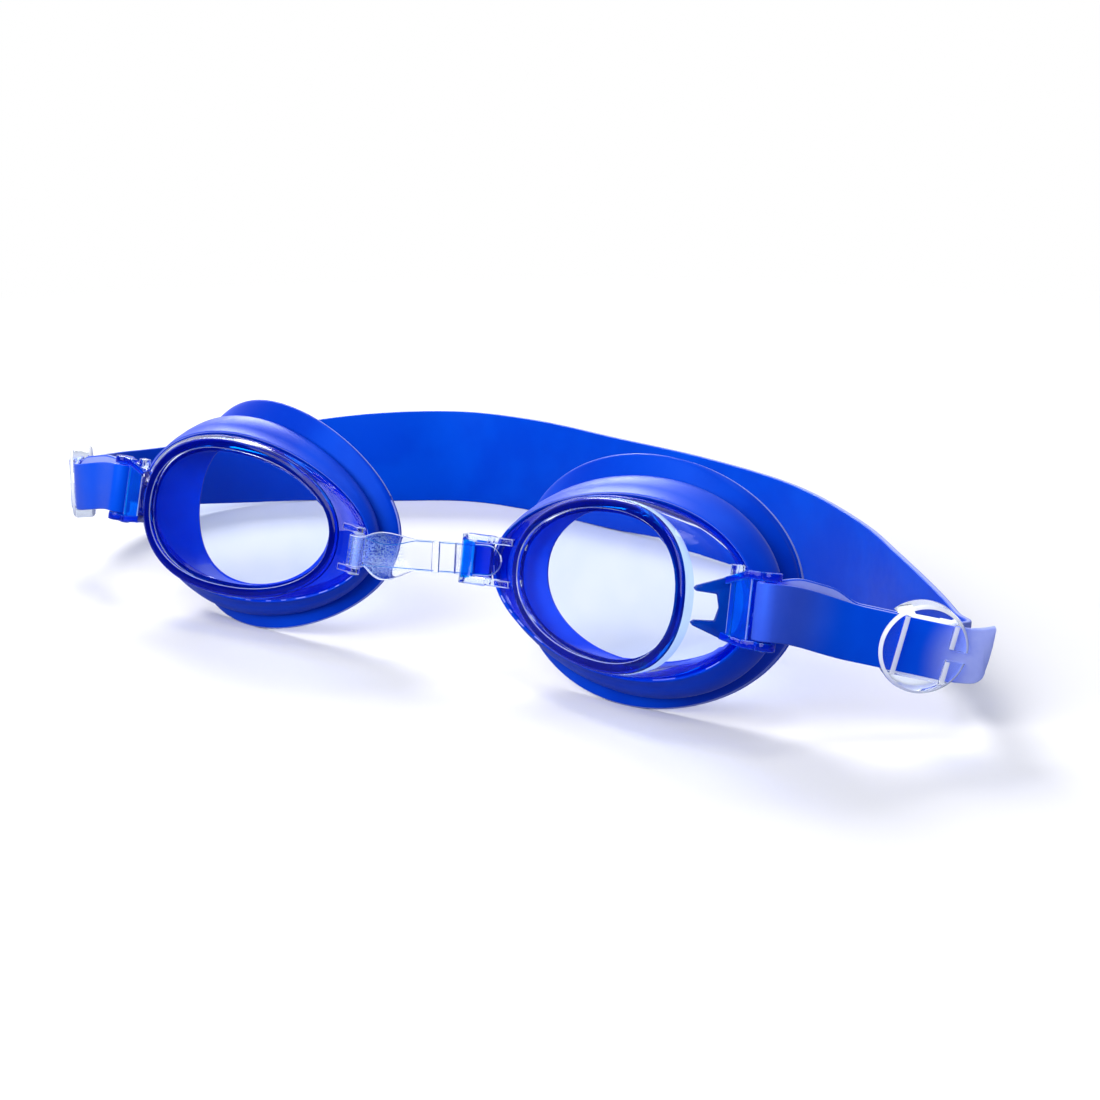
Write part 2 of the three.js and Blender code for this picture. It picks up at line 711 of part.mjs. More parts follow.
const rightAlong = headingVector(firstBuckleHeading, firstBuckleDrop);
const leftAlong = headingVector(secondBuckleHeading, secondBuckleDrop);
const rightEnd = foldedEnd(rightPost, upRight, firstBuckle, rightAlong, 1);
const leftEnd = foldedEnd(leftPost, upLeft, secondBuckle, leftAlong, -1);

// Stations of one end, from the free tab round the post to just past the buckle
function endStations(end, buckle, along) {
  const list = [];
  const last = end.stations[end.stations.length - 1];
  const outward = last.out;
  const push = (point, up, width, lift = 0) => list.push({ point, up, width, lift });
  const tabPoint = (distance) => buckle.clone()
    .addScaledVector(along, distance)
    .addScaledVector(outward, end.layerHalf)
    .addScaledVector(vertical, tabRise * Math.max(0, (distance - tabBend) / (tabLength - tabBend)) ** 2);
  const pushTip = (distance, width) => {
    push(tabPoint(distance), vertical, width, (strapNarrow - width) / 2);
  };
  const square = tabLength - tabSlant;
  pushTip(tabLength, tabTip);
  pushTip(square, strapNarrow - tabCorner);
  pushTip(square - tabCorner, strapNarrow);
  pushTip((square + tabBend) / 2, strapNarrow);
  push(tabPoint(tabBend), vertical, strapNarrow);
  push(tabPoint(0), vertical, strapNarrow);
  for (const station of [...end.stations].reverse()) {
    push(station.point.clone().addScaledVector(station.out, station.half), station.up, strapNarrow);
  }
  const first = end.stations[0];
  for (let i = 1; i < bendSteps; i += 1) {
    const angle = (Math.PI * i) / bendSteps;
    const point = first.point.clone()
      .addScaledVector(first.out, end.wrapRadius * Math.cos(angle))
      .addScaledVector(first.tangent, -end.wrapRadius * Math.sin(angle));
    push(point, first.up, strapNarrow);
  }
  for (const station of end.stations) {
    const inner = station.point.clone().addScaledVector(station.out, -station.half);
    push(inner, station.up, strapNarrow, station.rise);
  }
  return list;
}

const innerPoint = (end, buckle, along, distance) => buckle.clone()
  .addScaledVector(along, distance)
  .addScaledVector(end.stations[end.stations.length - 1].out, -end.layerHalf);

// The long way round the back, from one buckle to the other
function routeStations() {
  const knots = [
    { point: innerPoint(rightEnd, firstBuckle, rightAlong, 0), wide: 0 },
    { point: innerPoint(rightEnd, firstBuckle, rightAlong, innerRunPastBuckle), wide: 0 },
    ...strapRouteShares.map(([x, y, z, wide]) => (
      { point: new THREE.Vector3(x, y, z).multiplyScalar(strapReach), wide }
    )),
    { point: innerPoint(leftEnd, secondBuckle, leftAlong, innerRunPastBuckle), wide: 0 },
    { point: innerPoint(leftEnd, secondBuckle, leftAlong, 0), wide: 0 },
  ];
  const curve = new THREE.CatmullRomCurve3(knots.map((knot) => knot.point), false, 'centripetal');
  const segments = knots.length - 1;
  const list = [];
  for (let i = 0; i <= segments * routeSteps; i += 1) {
    const at = i / routeSteps;
    const knot = Math.min(Math.floor(at), segments - 1);
    const wide = THREE.MathUtils.lerp(knots[knot].wide, knots[knot + 1].wide, at - knot);
    list.push({
      point: curve.getPoint(at / segments),
      up: vertical,
      width: THREE.MathUtils.lerp(strapNarrow, strapWide, wide),
      lift: 0,
    });
  }
  return list;
}

// The strap as one band: each station carries a flat section with rounded edges
function strapGeometry() {
  const stations = [
    ...endStations(rightEnd, firstBuckle, rightAlong),
    ...routeStations(),
    ...endStations(leftEnd, secondBuckle, leftAlong).reverse(),
  ];
  const thin = strapThickness / 2;
  const rings = stations.map((station, i) => {
    const before = stations[Math.max(i - 1, 0)].point;
    const after = stations[Math.min(i + 1, stations.length - 1)].point;
    const tangent = new THREE.Vector3().subVectors(after, before).normalize();
    const across = new THREE.Vector3().crossVectors(tangent, station.up).normalize();
    const up = new THREE.Vector3().crossVectors(across, tangent);
    const tall = station.width / 2;
    const section = [
      [thin, tall - strapEdgeRound], [thin - strapEdgeRound, tall],
      [strapEdgeRound - thin, tall], [-thin, tall - strapEdgeRound],
      [-thin, strapEdgeRound - tall], [strapEdgeRound - thin, -tall],
      [thin - strapEdgeRound, -tall], [thin, strapEdgeRound - tall],
    ];
    return section.map(([a, b]) => station.point.clone()
      .addScaledVector(across, a)
      .addScaledVector(up, b + station.lift));
  });
  return loft(rings, false);
}

goggles.add(named('head_strap', strapGeometry(), strapSilicone));

// A buckle's front faces away from the head
function placeBuckle(name, centre, along, towardsHead) {
  const up = new THREE.Vector3().crossVectors(along, towardsHead).normalize();
  const buckle = named(name, buckleGeometry(), bucklePlastic);
  buckle.applyMatrix4(new THREE.Matrix4().makeBasis(along, towardsHead, up).setPosition(centre));
  goggles.add(buckle);
}

const headSide = (end) => end.stations[end.stations.length - 1].out.clone().negate();
placeBuckle('right_buckle', firstBuckle, rightAlong, headSide(rightEnd));
placeBuckle('left_buckle', secondBuckle, leftAlong, headSide(leftEnd));

// The goggles stand on Z = 0, with the middle of their box on the axis
const bounds = new THREE.Box3().setFromObject(goggles, true);
const middle = bounds.getCenter(new THREE.Vector3());
goggles.position.set(-middle.x, -middle.y, -bounds.min.z);

export default goggles;
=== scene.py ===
import math

import bmesh
import bpy
from mathutils import Matrix, Vector
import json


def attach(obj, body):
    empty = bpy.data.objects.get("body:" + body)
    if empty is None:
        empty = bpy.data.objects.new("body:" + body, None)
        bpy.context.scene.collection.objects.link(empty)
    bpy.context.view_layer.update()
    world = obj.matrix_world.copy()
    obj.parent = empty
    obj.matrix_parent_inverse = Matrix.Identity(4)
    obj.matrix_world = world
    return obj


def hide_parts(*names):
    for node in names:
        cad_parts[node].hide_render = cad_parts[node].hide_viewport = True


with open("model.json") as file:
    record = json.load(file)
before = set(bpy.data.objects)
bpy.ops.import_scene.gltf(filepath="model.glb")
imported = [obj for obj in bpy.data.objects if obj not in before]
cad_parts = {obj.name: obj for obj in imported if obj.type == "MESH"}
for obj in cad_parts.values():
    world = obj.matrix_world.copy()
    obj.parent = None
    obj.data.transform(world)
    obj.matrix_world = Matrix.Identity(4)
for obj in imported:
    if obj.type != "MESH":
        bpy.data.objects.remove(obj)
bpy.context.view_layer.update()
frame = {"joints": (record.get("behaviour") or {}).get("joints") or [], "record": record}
mm = 0.001

# The camera stands as it did for the photograph: to the right of the goggles, a little above the
# eyecups, looking down at them. It is a plain camera with no tilt of the picture worth naming.
picture_side = 1100
camera_focus = 2240.38
camera_place = Vector((259.73, -382.36, 132.51)) * mm
camera_azimuth = math.radians(34.07)
camera_elevation = math.radians(14.79)
camera_roll = 0.0033
backward = Vector((
    math.sin(camera_azimuth) * math.cos(camera_elevation),
    -math.cos(camera_azimuth) * math.cos(camera_elevation),
    math.sin(camera_elevation),
))
level = Vector((math.cos(camera_azimuth), math.sin(camera_azimuth), 0))
upward = backward.cross(level)
camera_right = level * math.cos(camera_roll) - upward * math.sin(camera_roll)
camera_up = level * math.sin(camera_roll) + upward * math.cos(camera_roll)
bpy.ops.object.select_all(action="DESELECT")
bpy.ops.object.camera_add()
camera = bpy.context.object
turn = Matrix((camera_right, camera_up, backward)).transposed()
camera.matrix_world = Matrix.Translation(camera_place) @ turn.to_4x4()
camera.data.sensor_width = 36
camera.data.lens = camera.data.sensor_width * camera_focus / picture_side
camera.data.clip_start = 10 * mm
bpy.context.scene.camera = camera

# Both eyecups: where they are comes from the flat fronts of the lenses and from the axes that they
# swivel on. In a cup's own frame x runs to the temple, y back to the face and z up.
mounts = {mount["name"]: mount for mount in frame["record"]["mounts"]}
joints = {joint["name"]: joint for joint in frame["joints"]}


def place_frame(origin, across, back, up):
    """The matrix of a piece's own frame from its middle and its three directions."""
    matrix = Matrix((across, back, up)).transposed().to_4x4()
    matrix.translation = origin
    return matrix


def cup_frame(mount, swivel, side):
    back = -Vector(mounts[mount]["axis"]).normalized()
    up = Vector(joints[swivel]["axis"])
    across = back.cross(up).normalized()
    up = across.cross(back)
    return place_frame(Vector(mounts[mount]["pos_m"]), across * side, back, up)


right_cup = cup_frame("right_lens_front", "right_eyecup_swivel", 1)
left_cup = cup_frame("left_lens_front", "left_eyecup_swivel", -1)

# The lenses are moulded in clear, faintly blue plastic: a flat oval front with a rounded edge and a
# wall that flares back to the seal. Lugs for the strap and the nose bridge are moulded in one with
# it, and the soft seal is pressed over its rim.
lens_points = 144
lens_half_width = 23.65 * mm
lens_half_height = 15.47 * mm
lens_edge_inset = 0.9 * mm
lens_rim_width = 1.95 * mm
lens_front_sunk = 0.15 * mm
lens_edge_round = 0.35 * mm
lens_edge_depth = 0.8 * mm
lens_wall = 1.65 * mm
lens_wall_bulge = 0.35 * mm
lens_seat_depth = 1.6 * mm
lens_seat_taper = 0.2 * mm
seat_gap = 0.3 * mm
run_gap = 0.3 * mm
round_power_share = 1.99
round_egg_share = 0.1255
front_power_share = 2.215
front_egg_share = 0.117
collar_lip = 1 * mm


def oval(**values):
    """An egg-shaped outline of the eyecup, whose depth leans and bows along its width."""
    ring = {"shift": 0, "lift": 0, "lean": 0, "bow": 0, "power": round_power_share, "egg": round_egg_share}
    ring.update(values)
    return ring


def between(first, second, share, outward=0, backward=0):
    ring = {key: first[key] + (second[key] - first[key]) * share for key in first}
    ring["half_width"] += outward
    ring["half_height"] += outward
    ring["depth"] += backward
    return ring


def moved(ring, outward, backward):
    return between(ring, ring, 0, outward, backward)


def oval_points(ring, count=lens_points):
    points = []
    for step in range(count):
        angle = 2 * math.pi * step / count
        c, s = math.cos(angle), math.sin(angle)
        wide = math.copysign(abs(c) ** (2 / ring["power"]), c)
        high = math.copysign(abs(s) ** (2 / ring["power"]), s) * (1 + ring["egg"] * c)
        x = ring["shift"] + ring["half_width"] * wide
        y = ring["depth"] + ring["lean"] * x + ring["bow"] * (x / ring["half_width"]) ** 2
        points.append(Vector((x, y, ring["lift"] + ring["half_height"] * high)))
    return points


lens_front = oval(
    half_width=lens_half_width, half_height=lens_half_height, depth=0,
    power=front_power_share, egg=front_egg_share,
)
collar_front = oval(
    shift=0.45 * mm, half_width=31.36 * mm, half_height=16.81 * mm, depth=4.09 * mm, lean=0.14, bow=1.6 * mm,
)
collar_back = oval(
    shift=0.57 * mm, half_width=31.23 * mm, half_height=19.81 * mm, lift=0.15 * mm,
    depth=8.2 * mm, lean=0.188, bow=2.4 * mm,
)
seal_rim = oval(
    shift=-1.87 * mm, half_width=30.79 * mm, half_height=23 * mm, lift=0.83 * mm,
    depth=10.03 * mm, lean=0.274, bow=6.99 * mm,
)
eye_opening = oval(
    shift=1.71 * mm, half_width=20.44 * mm, half_height=14.3 * mm, lift=0.76 * mm,
    depth=8.7 * mm, lean=0.292, bow=2.55 * mm, power=2.1,
)
lens_seat = moved(collar_front, -collar_lip, 0)
lens_rear = moved(lens_seat, -lens_seat_taper, lens_seat_depth)


def new_piece(name, add, **settings):
    """A primitive with nothing else selected, named and left in object mode."""
    bpy.ops.object.select_all(action="DESELECT")
    add(**settings)
    piece = bpy.context.object
    piece.name = name
    piece.data.name = name
    return piece


def only(piece):
    bpy.ops.object.select_all(action="DESELECT")
    piece.select_set(True)
    bpy.context.view_layer.objects.active = piece


def loft(name, rings, tyre=False):
    """A ring of edges, extruded from one cross section to the next, then capped or joined to itself."""
    piece = new_piece(name, bpy.ops.mesh.primitive_circle_add, vertices=len(rings[0]), fill_type="NOTHING")
    bpy.ops.object.mode_set(mode="EDIT")
    shape = bmesh.from_edit_mesh(piece.data)
    order = shape.verts.layers.int.new("order")
    for step, vert in enumerate(shape.verts):
        vert[order] = step
        vert.co = rings[0][step]
    bpy.ops.mesh.select_all(action="SELECT")
    if not tyre:
        bpy.ops.mesh.edge_face_add()
    for ring in rings[1:] + rings[:1] * tyre:
        bpy.ops.mesh.extrude_region_move()
        shape = bmesh.from_edit_mesh(piece.data)
        order = shape.verts.layers.int["order"]
        for vert in shape.verts:
            if vert.select:
                vert.co = ring[vert[order]]
        bmesh.update_edit_mesh(piece.data)
    bpy.ops.mesh.select_all(action="SELECT")
    bpy.ops.mesh.remove_doubles(threshold=0.0001 * mm)
    bpy.ops.mesh.normals_make_consistent(inside=False)
    bpy.ops.object.mode_set(mode="OBJECT")
    return piece


def corners_of(piece, face):
    """Which corners of its cross section a lofted face joins."""
    order = piece.data.attributes["order"].data
    return {order[number].value for number in face.vertices}


def put(piece, matrix):
    """Set the mesh in its place: a mirrored one has its faces turned the right way out again."""
    piece.data.transform(matrix)
    if matrix.determinant() < 0:
        piece.data.flip_normals()
    return piece


def apply(piece, kind, **settings):
    only(piece)
    modifier = piece.modifiers.new(kind.title(), kind)
    for key, value in settings.items():
        setattr(modifier, key, value)
    bpy.ops.object.modifier_apply(modifier=modifier.name)
    return piece


def soften(piece, width, rounds=2, corner=30, plastic=-1):
    return apply(
        piece, "BEVEL", width=width, segments=rounds, limit_method="ANGLE",
        angle_limit=math.radians(corner), use_clamp_overlap=True, material=plastic,
    )


def weld(piece, other, operation="UNION"):
    """Join another solid to a piece, or cut it away, and drop the other."""
    apply(piece, "BOOLEAN", operation=operation, object=other, solver="EXACT", material_mode="INDEX")
    bpy.data.objects.remove(other)
    return piece


def smooth(piece, corner=40):
    only(piece)
    bpy.ops.object.shade_smooth_by_angle(angle=math.radians(corner))
    return piece


def plate(name, outline, low, high):
    """A flat outline (x, y) drawn up from one height to another."""
    piece = new_piece(name, bpy.ops.mesh.primitive_circle_add, vertices=len(outline), fill_type="NGON")
    bpy.ops.object.mode_set(mode="EDIT")
    shape = bmesh.from_edit_mesh(piece.data)
    for vert, (x, y) in zip(shape.verts, outline):
        vert.co = (x, y, low)
    bmesh.update_edit_mesh(piece.data)
    bpy.ops.mesh.select_all(action="SELECT")
    bpy.ops.mesh.extrude_region_move(TRANSFORM_OT_translate={"value": (0, 0, high - low)})
    bpy.ops.mesh.select_all(action="SELECT")
    bpy.ops.mesh.normals_make_consistent(inside=False)
    bpy.ops.object.mode_set(mode="OBJECT")
    return piece


def upright_bar(name, x, y, radius, low, high, sides=32):
    return new_piece(
        name, bpy.ops.mesh.primitive_cylinder_add, vertices=sides, radius=radius, depth=high - low,
        location=(x, y, (low + high) / 2),
    )


def settle(piece):
    """Work a piece's own place into its mesh, so that the object sits at the origin."""
    only(piece)
    bpy.ops.object.transform_apply(location=True, rotation=True, scale=True)
    return piece


def block(name, low, high):
    size = Vector(high) - Vector(low)
    piece = new_piece(name, bpy.ops.mesh.primitive_cube_add, size=1, location=(Vector(high) + Vector(low)) / 2)
    piece.scale = size
    return settle(piece)


class Signal:
    """The output of a shader node, on which Python's own signs add Math nodes."""

    def __init__(self, finish, socket):
        self.finish = finish
        self.socket = socket

    def __add__(self, other):
        return self.finish.maths("ADD", self, other)

    def __sub__(self, other):
        return self.finish.maths("SUBTRACT", self, other)

    def __rsub__(self, other):
        return self.finish.maths("SUBTRACT", other, self)

    def __mul__(self, other):
        return self.finish.maths("MULTIPLY", self, other)

    def __truediv__(self, other):
        return self.finish.maths("DIVIDE", self, other)

    __radd__ = __add__
    __rmul__ = __mul__


class Finish:
    """A material on a node tree of its own, with the shader that all of it ends in."""

    def __init__(self, name, world=False):
        self.holder = bpy.data.worlds.new(name) if world else bpy.data.materials.new(name)
        self.holder.use_nodes = True
        self.tree = self.holder.node_tree
        self.tree.nodes.clear()

    def node(self, kind, settings=None, output=0, **inputs):
        made = self.tree.nodes.new(kind)
        for key, value in (settings or {}).items():
            if key == "stops":
                for place, colour in value[2:]:
                    made.color_ramp.elements.new(place)
                for element, (place, colour) in zip(made.color_ramp.elements, value):
                    element.position = place
                    element.color = colour
            else:
                setattr(made, key, value)
        for key, value in inputs.items():
            number = key[1:]
            socket = made.inputs[int(number) if number.isdigit() else key.replace("_", " ")]
            if isinstance(value, Signal):
                self.tree.links.new(value.socket, socket)
            else:
                socket.default_value = value
        return Signal(self, made.outputs[output])

    def maths(self, operation, first, second, clamp=False):
        return self.node("ShaderNodeMath", {"operation": operation, "use_clamp": clamp}, _0=first, _1=second)

    def colours(self, factor, first, second, blend="MIX"):
        settings = {"data_type": "RGBA", "blend_type": blend}
        return self.node("ShaderNodeMix", settings, 2, _0=factor, _6=first, _7=second)

    def place(self):
        return self.node("ShaderNodeTexCoord", None, "Object")

    def noise(self, scale, detail=2, roughness=0.5, spread=None):
        where = self.place() if spread is None else spread
        return self.node("ShaderNodeTexNoise", None, 0, Vector=where, Scale=scale, Detail=detail, Roughness=roughness)

    def level(self, value, low, high):
        """0 below low, 1 above high and a soft step between them."""
        settings = {"interpolation_type": "SMOOTHSTEP"}
        return self.node("ShaderNodeMapRange", settings, 0, _0=value, _1=low, _2=high)

    def away(self, point):
        """Distance from a point of the goggles."""
        return self.node("ShaderNodeVectorMath", {"operation": "DISTANCE"}, "Value", _0=self.place(), _1=point)

    def bump(self, height, strength, depth):
        return self.node("ShaderNodeBump", None, 0, Height=height, Strength=strength, Distance=depth)

    def end(self, shader):
        kind = "ShaderNodeOutputWorld" if isinstance(self.holder, bpy.types.World) else "ShaderNodeOutputMaterial"
        made = self.tree.nodes.new(kind)
        self.tree.links.new(shader.socket, made.inputs["Surface"])
        return self.holder


def clear_plastic(name, tint, deep, roughness, clearness=1, index=1.3, gloss=0, frost=None, far=0, near=0):
    """Clear moulded plastic that lets the lamps' light through, with a frosted patch round one point."""
    finish = Finish(name)
    cloud = finish.noise(140, 2)
    fine = finish.noise(1800, 3)
    colour = finish.colours(finish.level(cloud, 0.35, 0.65), tint, deep)
    plastic = finish.node(
        "ShaderNodeBsdfPrincipled", None, 0, Base_Color=colour, IOR=index,
        Roughness=fine * 0.03 + roughness, Normal=finish.bump(cloud, 0.02, 0.2 * mm),
        Transmission_Weight=clearness, Coat_Weight=gloss,
    )
    if frost:
        grains = finish.level(finish.noise(3200, 2), 0.4, 0.62) * finish.level(finish.away(frost), far, near)
        milky = finish.node(
            "ShaderNodeBsdfPrincipled", None, 0, Base_Color=frost_and_seal_blue, Roughness=0.5, Transmission_Weight=0.3)
        plastic = finish.node("ShaderNodeMixShader", None, 0, _0=grains * 0.5, _1=plastic, _2=milky)
    through = finish.node("ShaderNodeBsdfTransparent", None, 0, Color=finish.colours(0.7, colour, shadow_tint))
    shadow = finish.node("ShaderNodeLightPath", None, "Is Shadow Ray")
    return finish.end(finish.node("ShaderNodeMixShader", None, 0, _0=shadow, _1=plastic, _2=through))


# The frosted patch itself is real, but the blue of its milky layer is the seal behind it, painted in.
frost_and_seal_blue = (0.3, 0.5, 1, 1)
shadow_tint = (0.3, 0.36, 0.7, 1)
# Only the clear finish is the plastic's own colour. The others are painted light: royal and sky blue stand for the
# seal seen through the plastic, navy for the dark ring of the rim and the fork, pale for a light blue line, and the
# lightest one is a painted highlight.
glass_clear, glass_pale, glass_royal, glass_navy, glass_highlight, glass_sky = range(6)
lens_plastics = [
    clear_plastic("lens_clear", (0.8, 0.87, 1, 1), (0.76, 0.84, 1, 1), 0.01, index=1.22),
    clear_plastic("lens_pale", (0.35, 0.58, 1, 1), (0.3, 0.52, 0.98, 1), 0.02, gloss=0.1),
    clear_plastic("lens_royal", (0.0, 0.035, 0.7, 1), (0.0, 0.025, 0.62, 1), 0.03, 0.7, 1.2, gloss=0.2),
    clear_plastic("lens_navy", (0.0, 0.008, 0.26, 1), (0.0, 0.004, 0.2, 1), 0.03, 0.5, 1.15, gloss=0.25),
    clear_plastic("lens_highlight", (0.86, 0.92, 1, 1), (0.75, 0.85, 1, 1), 0.12, 0.7, gloss=0.3),
    clear_plastic("lens_sky", (0.0, 0.15, 0.82, 1), (0.0, 0.1, 0.75, 1), 0.05, 0.7, gloss=0.3),
]


def tinted(piece, number):
    """Give a lens part one of the lens finishes, its clear plastic or a painted one: one for the part, or a rule of
    its faces.
    """
    rule = number if callable(number) else lambda face: number
    for plastic in lens_plastics:
        piece.data.materials.append(plastic)
    for face in piece.data.polygons:
        face.material_index = rule(face)
    return piece


def strip(path, half):
    """The outline of a bent strip of even thickness through points."""
    left, right = [], []
    for step, point in enumerate(path):
        before = path[max(step - 1, 0)]
        after = path[min(step + 1, len(path) - 1)]
        along = (after - before).normalized()
        side = Vector((-along.y, along.x)) * half
        left.append(point + side)
        right.append(point - side)
    return left + right[::-1]


strap_narrow = 10 * mm
post_along = 36 * mm
post_back = 8.7 * mm
post_radius = 1 * mm
lug_arm_thickness = 1.4 * mm
lug_arm_depth = 1.8 * mm
lug_boss_radius = 1.9 * mm
arm_lap = 0.03 * mm
fork_thickness = 2 * mm
fork_proud = 0.9 * mm
fork_tip = Vector((24.7, 2.1)) * mm
fork_root = Vector((27.9, 6.2)) * mm
fork_bar_width = 1.8 * mm
fork_down = 0.5 * mm
fork_half_height = 5.4 * mm
fork_tip_half = 0.5 * mm
fork_tip_spread = 3 * mm
fork_root_inner = 2.3 * mm
fork_notch_share = 0.7
fork_middle_share = 0.8
arm_elbow = Vector((32.6, 7)) * mm
web_path = [Vector((28.9, 6.4)) * mm, arm_elbow, Vector((33.2, 7.25)) * mm]
web_thickness = 0.8 * mm
gate_place = Vector((29.5, 7, 6.3)) * mm
gate_half = Vector((0.9, 0.95, 1)) * mm
moulded_round = 0.22 * mm


def lens_shell():
    """The cup itself, its rim painted in bands that run all round: the seal's blue and a dark navy ring as seen
    through the plastic, and a thin painted highlight.
    """
    rings, bands = [], []

    def ring(shape, plastic):
        rings.append(shape)
        bands.append(plastic)

    edge = moved(lens_front, 0, lens_edge_depth)
    # Front pane, then a thin painted highlight ring, a painted navy ring with the seal's blue in the rounding, and a
    # painted pale line at the edge.
    ring(moved(lens_front, -lens_rim_width * 1.3, lens_front_sunk), glass_clear)
    ring(moved(lens_front, -lens_rim_width, lens_front_sunk), glass_highlight)
    ring(moved(lens_front, -lens_rim_width + lens_front_sunk, 0), glass_navy)
    for step, plastic in enumerate((glass_navy, glass_navy, glass_royal, glass_royal, glass_navy, glass_navy)):
        turned = math.pi / 2 * step / 6
        inset = lens_edge_inset * (1 - math.sin(turned))
        ring(moved(lens_front, -inset, lens_edge_depth * (1 - math.cos(turned))), plastic)
    ring(edge, glass_pale)
    # Clear wall, painted the seal's blue where it meets the seat and on the seat itself.
    for step in range(1, 8):
        share = step / 8
        bulge = lens_wall_bulge * math.sin(math.pi * share)
        ring(between(edge, lens_seat, share, bulge), glass_royal if step == 7 else glass_clear)
    ring(lens_seat, glass_royal)
    ring(lens_rear, glass_royal)
    ring(moved(lens_rear, -lens_wall, 0), glass_clear)
    inner_seat = moved(lens_seat, -lens_wall, lens_seat_depth / 2)
    inner_edge = moved(lens_front, -lens_wall, lens_wall + lens_edge_round)
    inner_front = moved(lens_front, -lens_wall - lens_edge_inset, lens_wall)
    # Inside, a painted navy ring where the wall turns into the front pane.
    for step in range(7):
        share = step / 6
        bulge = lens_wall_bulge * math.sin(math.pi * share)
        ring(between(inner_seat, inner_edge, share, bulge), glass_navy if step == 6 else glass_clear)
    ring(between(inner_edge, inner_front, 0.4, 0, -0.1 * mm), glass_navy)
    ring(inner_front, glass_clear)
    ring(moved(inner_front, -lens_edge_round, 0), glass_clear)
    shell = loft("lens_shell", [oval_points(shape) for shape in rings])
    last = len(rings) - 1

    def band(face):
        first = min(face.vertices) // lens_points
        return bands[first] if max(face.vertices) // lens_points != first or first != last else glass_clear

    return tinted(shell, band)


def temple_lug(lens):
    """The fork moulded on the wall, two arms and the round post that the strap end turns on."""
    inner = strap_narrow / 2 + run_gap
    outer = inner + lug_arm_thickness
    run = fork_root - fork_tip
    slant = run.length
    fork = [
        (0, fork_tip_spread - fork_tip_half),
        (slant * fork_notch_share, fork_root_inner),
        (slant * fork_middle_share, 0),
        (slant * fork_notch_share, -fork_root_inner),
        (0, fork_tip_half - fork_tip_spread),
        (-fork_tip_half, -fork_tip_spread),
        (0, -fork_tip_spread - fork_tip_half),
        (slant, -fork_half_height),
        (slant + fork_bar_width, -fork_half_height),
        (slant + fork_bar_width, fork_half_height),
        (slant, fork_half_height),
        (0, fork_tip_spread + fork_tip_half),
        (-fork_tip_half, fork_tip_spread),
    ]
    # The fork is painted dark navy, the shade it shows through the plastic.
    plank = tinted(plate("fork", fork, 0, fork_thickness), glass_navy)
    soften(plank, moulded_round)
    put(plank, Matrix.Translation(Vector((fork_tip.x, fork_tip.y, -fork_down)))
        @ Matrix.Rotation(math.atan2(run.y, run.x), 4, "Z")
        @ Matrix.Translation(Vector((0, fork_thickness - fork_proud, 0)))
        @ Matrix.Rotation(math.pi / 2, 4, "X"))
    weld(lens, plank)
    post = Vector((post_along, post_back))
    half = lug_arm_depth / 2
    for side in (-1, 1):
        low, high = sorted((side * inner, side * outer))
        sloping = plate("arm", strip([fork_root, arm_elbow], half), low, high)
        for vert in sloping.data.vertices:
            if vert.co.x < (fork_root.x + arm_elbow.x) / 2:
                vert.co.z += side * (fork_half_height - outer) - fork_down
        lap = arm_lap
        for part in (
            sloping,
            upright_bar("elbow", arm_elbow.x, arm_elbow.y, half + lap, low - lap, high + lap),
            plate("arm", strip([arm_elbow, post], half - lap), low - 2 * lap, high + 2 * lap),
            upright_bar("boss", post.x, post.y, lug_boss_radius, low - 3 * lap, high + 3 * lap),
        ):
            # Arms, elbows and bosses are painted the seal's blue seen through them, with a light blue painted on
            # their rounded edges.
            weld(lens, soften(tinted(part, glass_royal), moulded_round, plastic=glass_sky))
    # The web is painted light blue with painted highlights on its rounded edges, and so are the gate's edges; the
    # post is painted the seal's blue.
    web = tinted(plate("web", strip(web_path, web_thickness / 2), -inner - half, inner + half), glass_sky)
    weld(lens, soften(web, moulded_round, plastic=glass_highlight))
    bar = upright_bar("post", post.x, post.y, post_radius, -outer + half, outer - half)
    weld(lens, tinted(bar, glass_royal))
    gate = tinted(block("gate", gate_place - gate_half, gate_place + gate_half), glass_clear)
    return weld(lens, soften(gate, moulded_round, plastic=glass_highlight))


band_height = 6 * mm
band_thickness = 0.8 * mm
loop_bar = Vector((-29.2, -1.1)) * mm
loop_bar_up = -0.5 * mm
loop_bar_radius = 0.65 * mm
lock_bar = Vector((-29.9, -1.6)) * mm
lock_bar_up = 0.3 * mm
lock_bar_pitch = 2.8 * mm
front_bar_width = 2.6 * mm
rear_bar_width = 4 * mm
lock_frame_past = 1.3 * mm
lock_bar_thickness = 0.9 * mm
lock_gap = 0.55 * mm
nasal_arm_thickness = 1.4 * mm
nasal_arm_depth = 1.7 * mm
nasal_root = Vector((-24.6, 1.1)) * mm
nasal_inner = band_height / 2 + run_gap
nasal_outer = nasal_inner + nasal_arm_thickness


def nasal_arms(lens, path, half, middle, lap=0):
    for low in (middle - nasal_outer, middle + nasal_inner):
        arm = tinted(plate("arm", strip(path, half), low - lap, low + nasal_arm_thickness + lap), glass_clear)
        # The arms are clear, with a painted highlight on their rounded edges.
        weld(lens, soften(arm, moulded_round, plastic=glass_highlight))


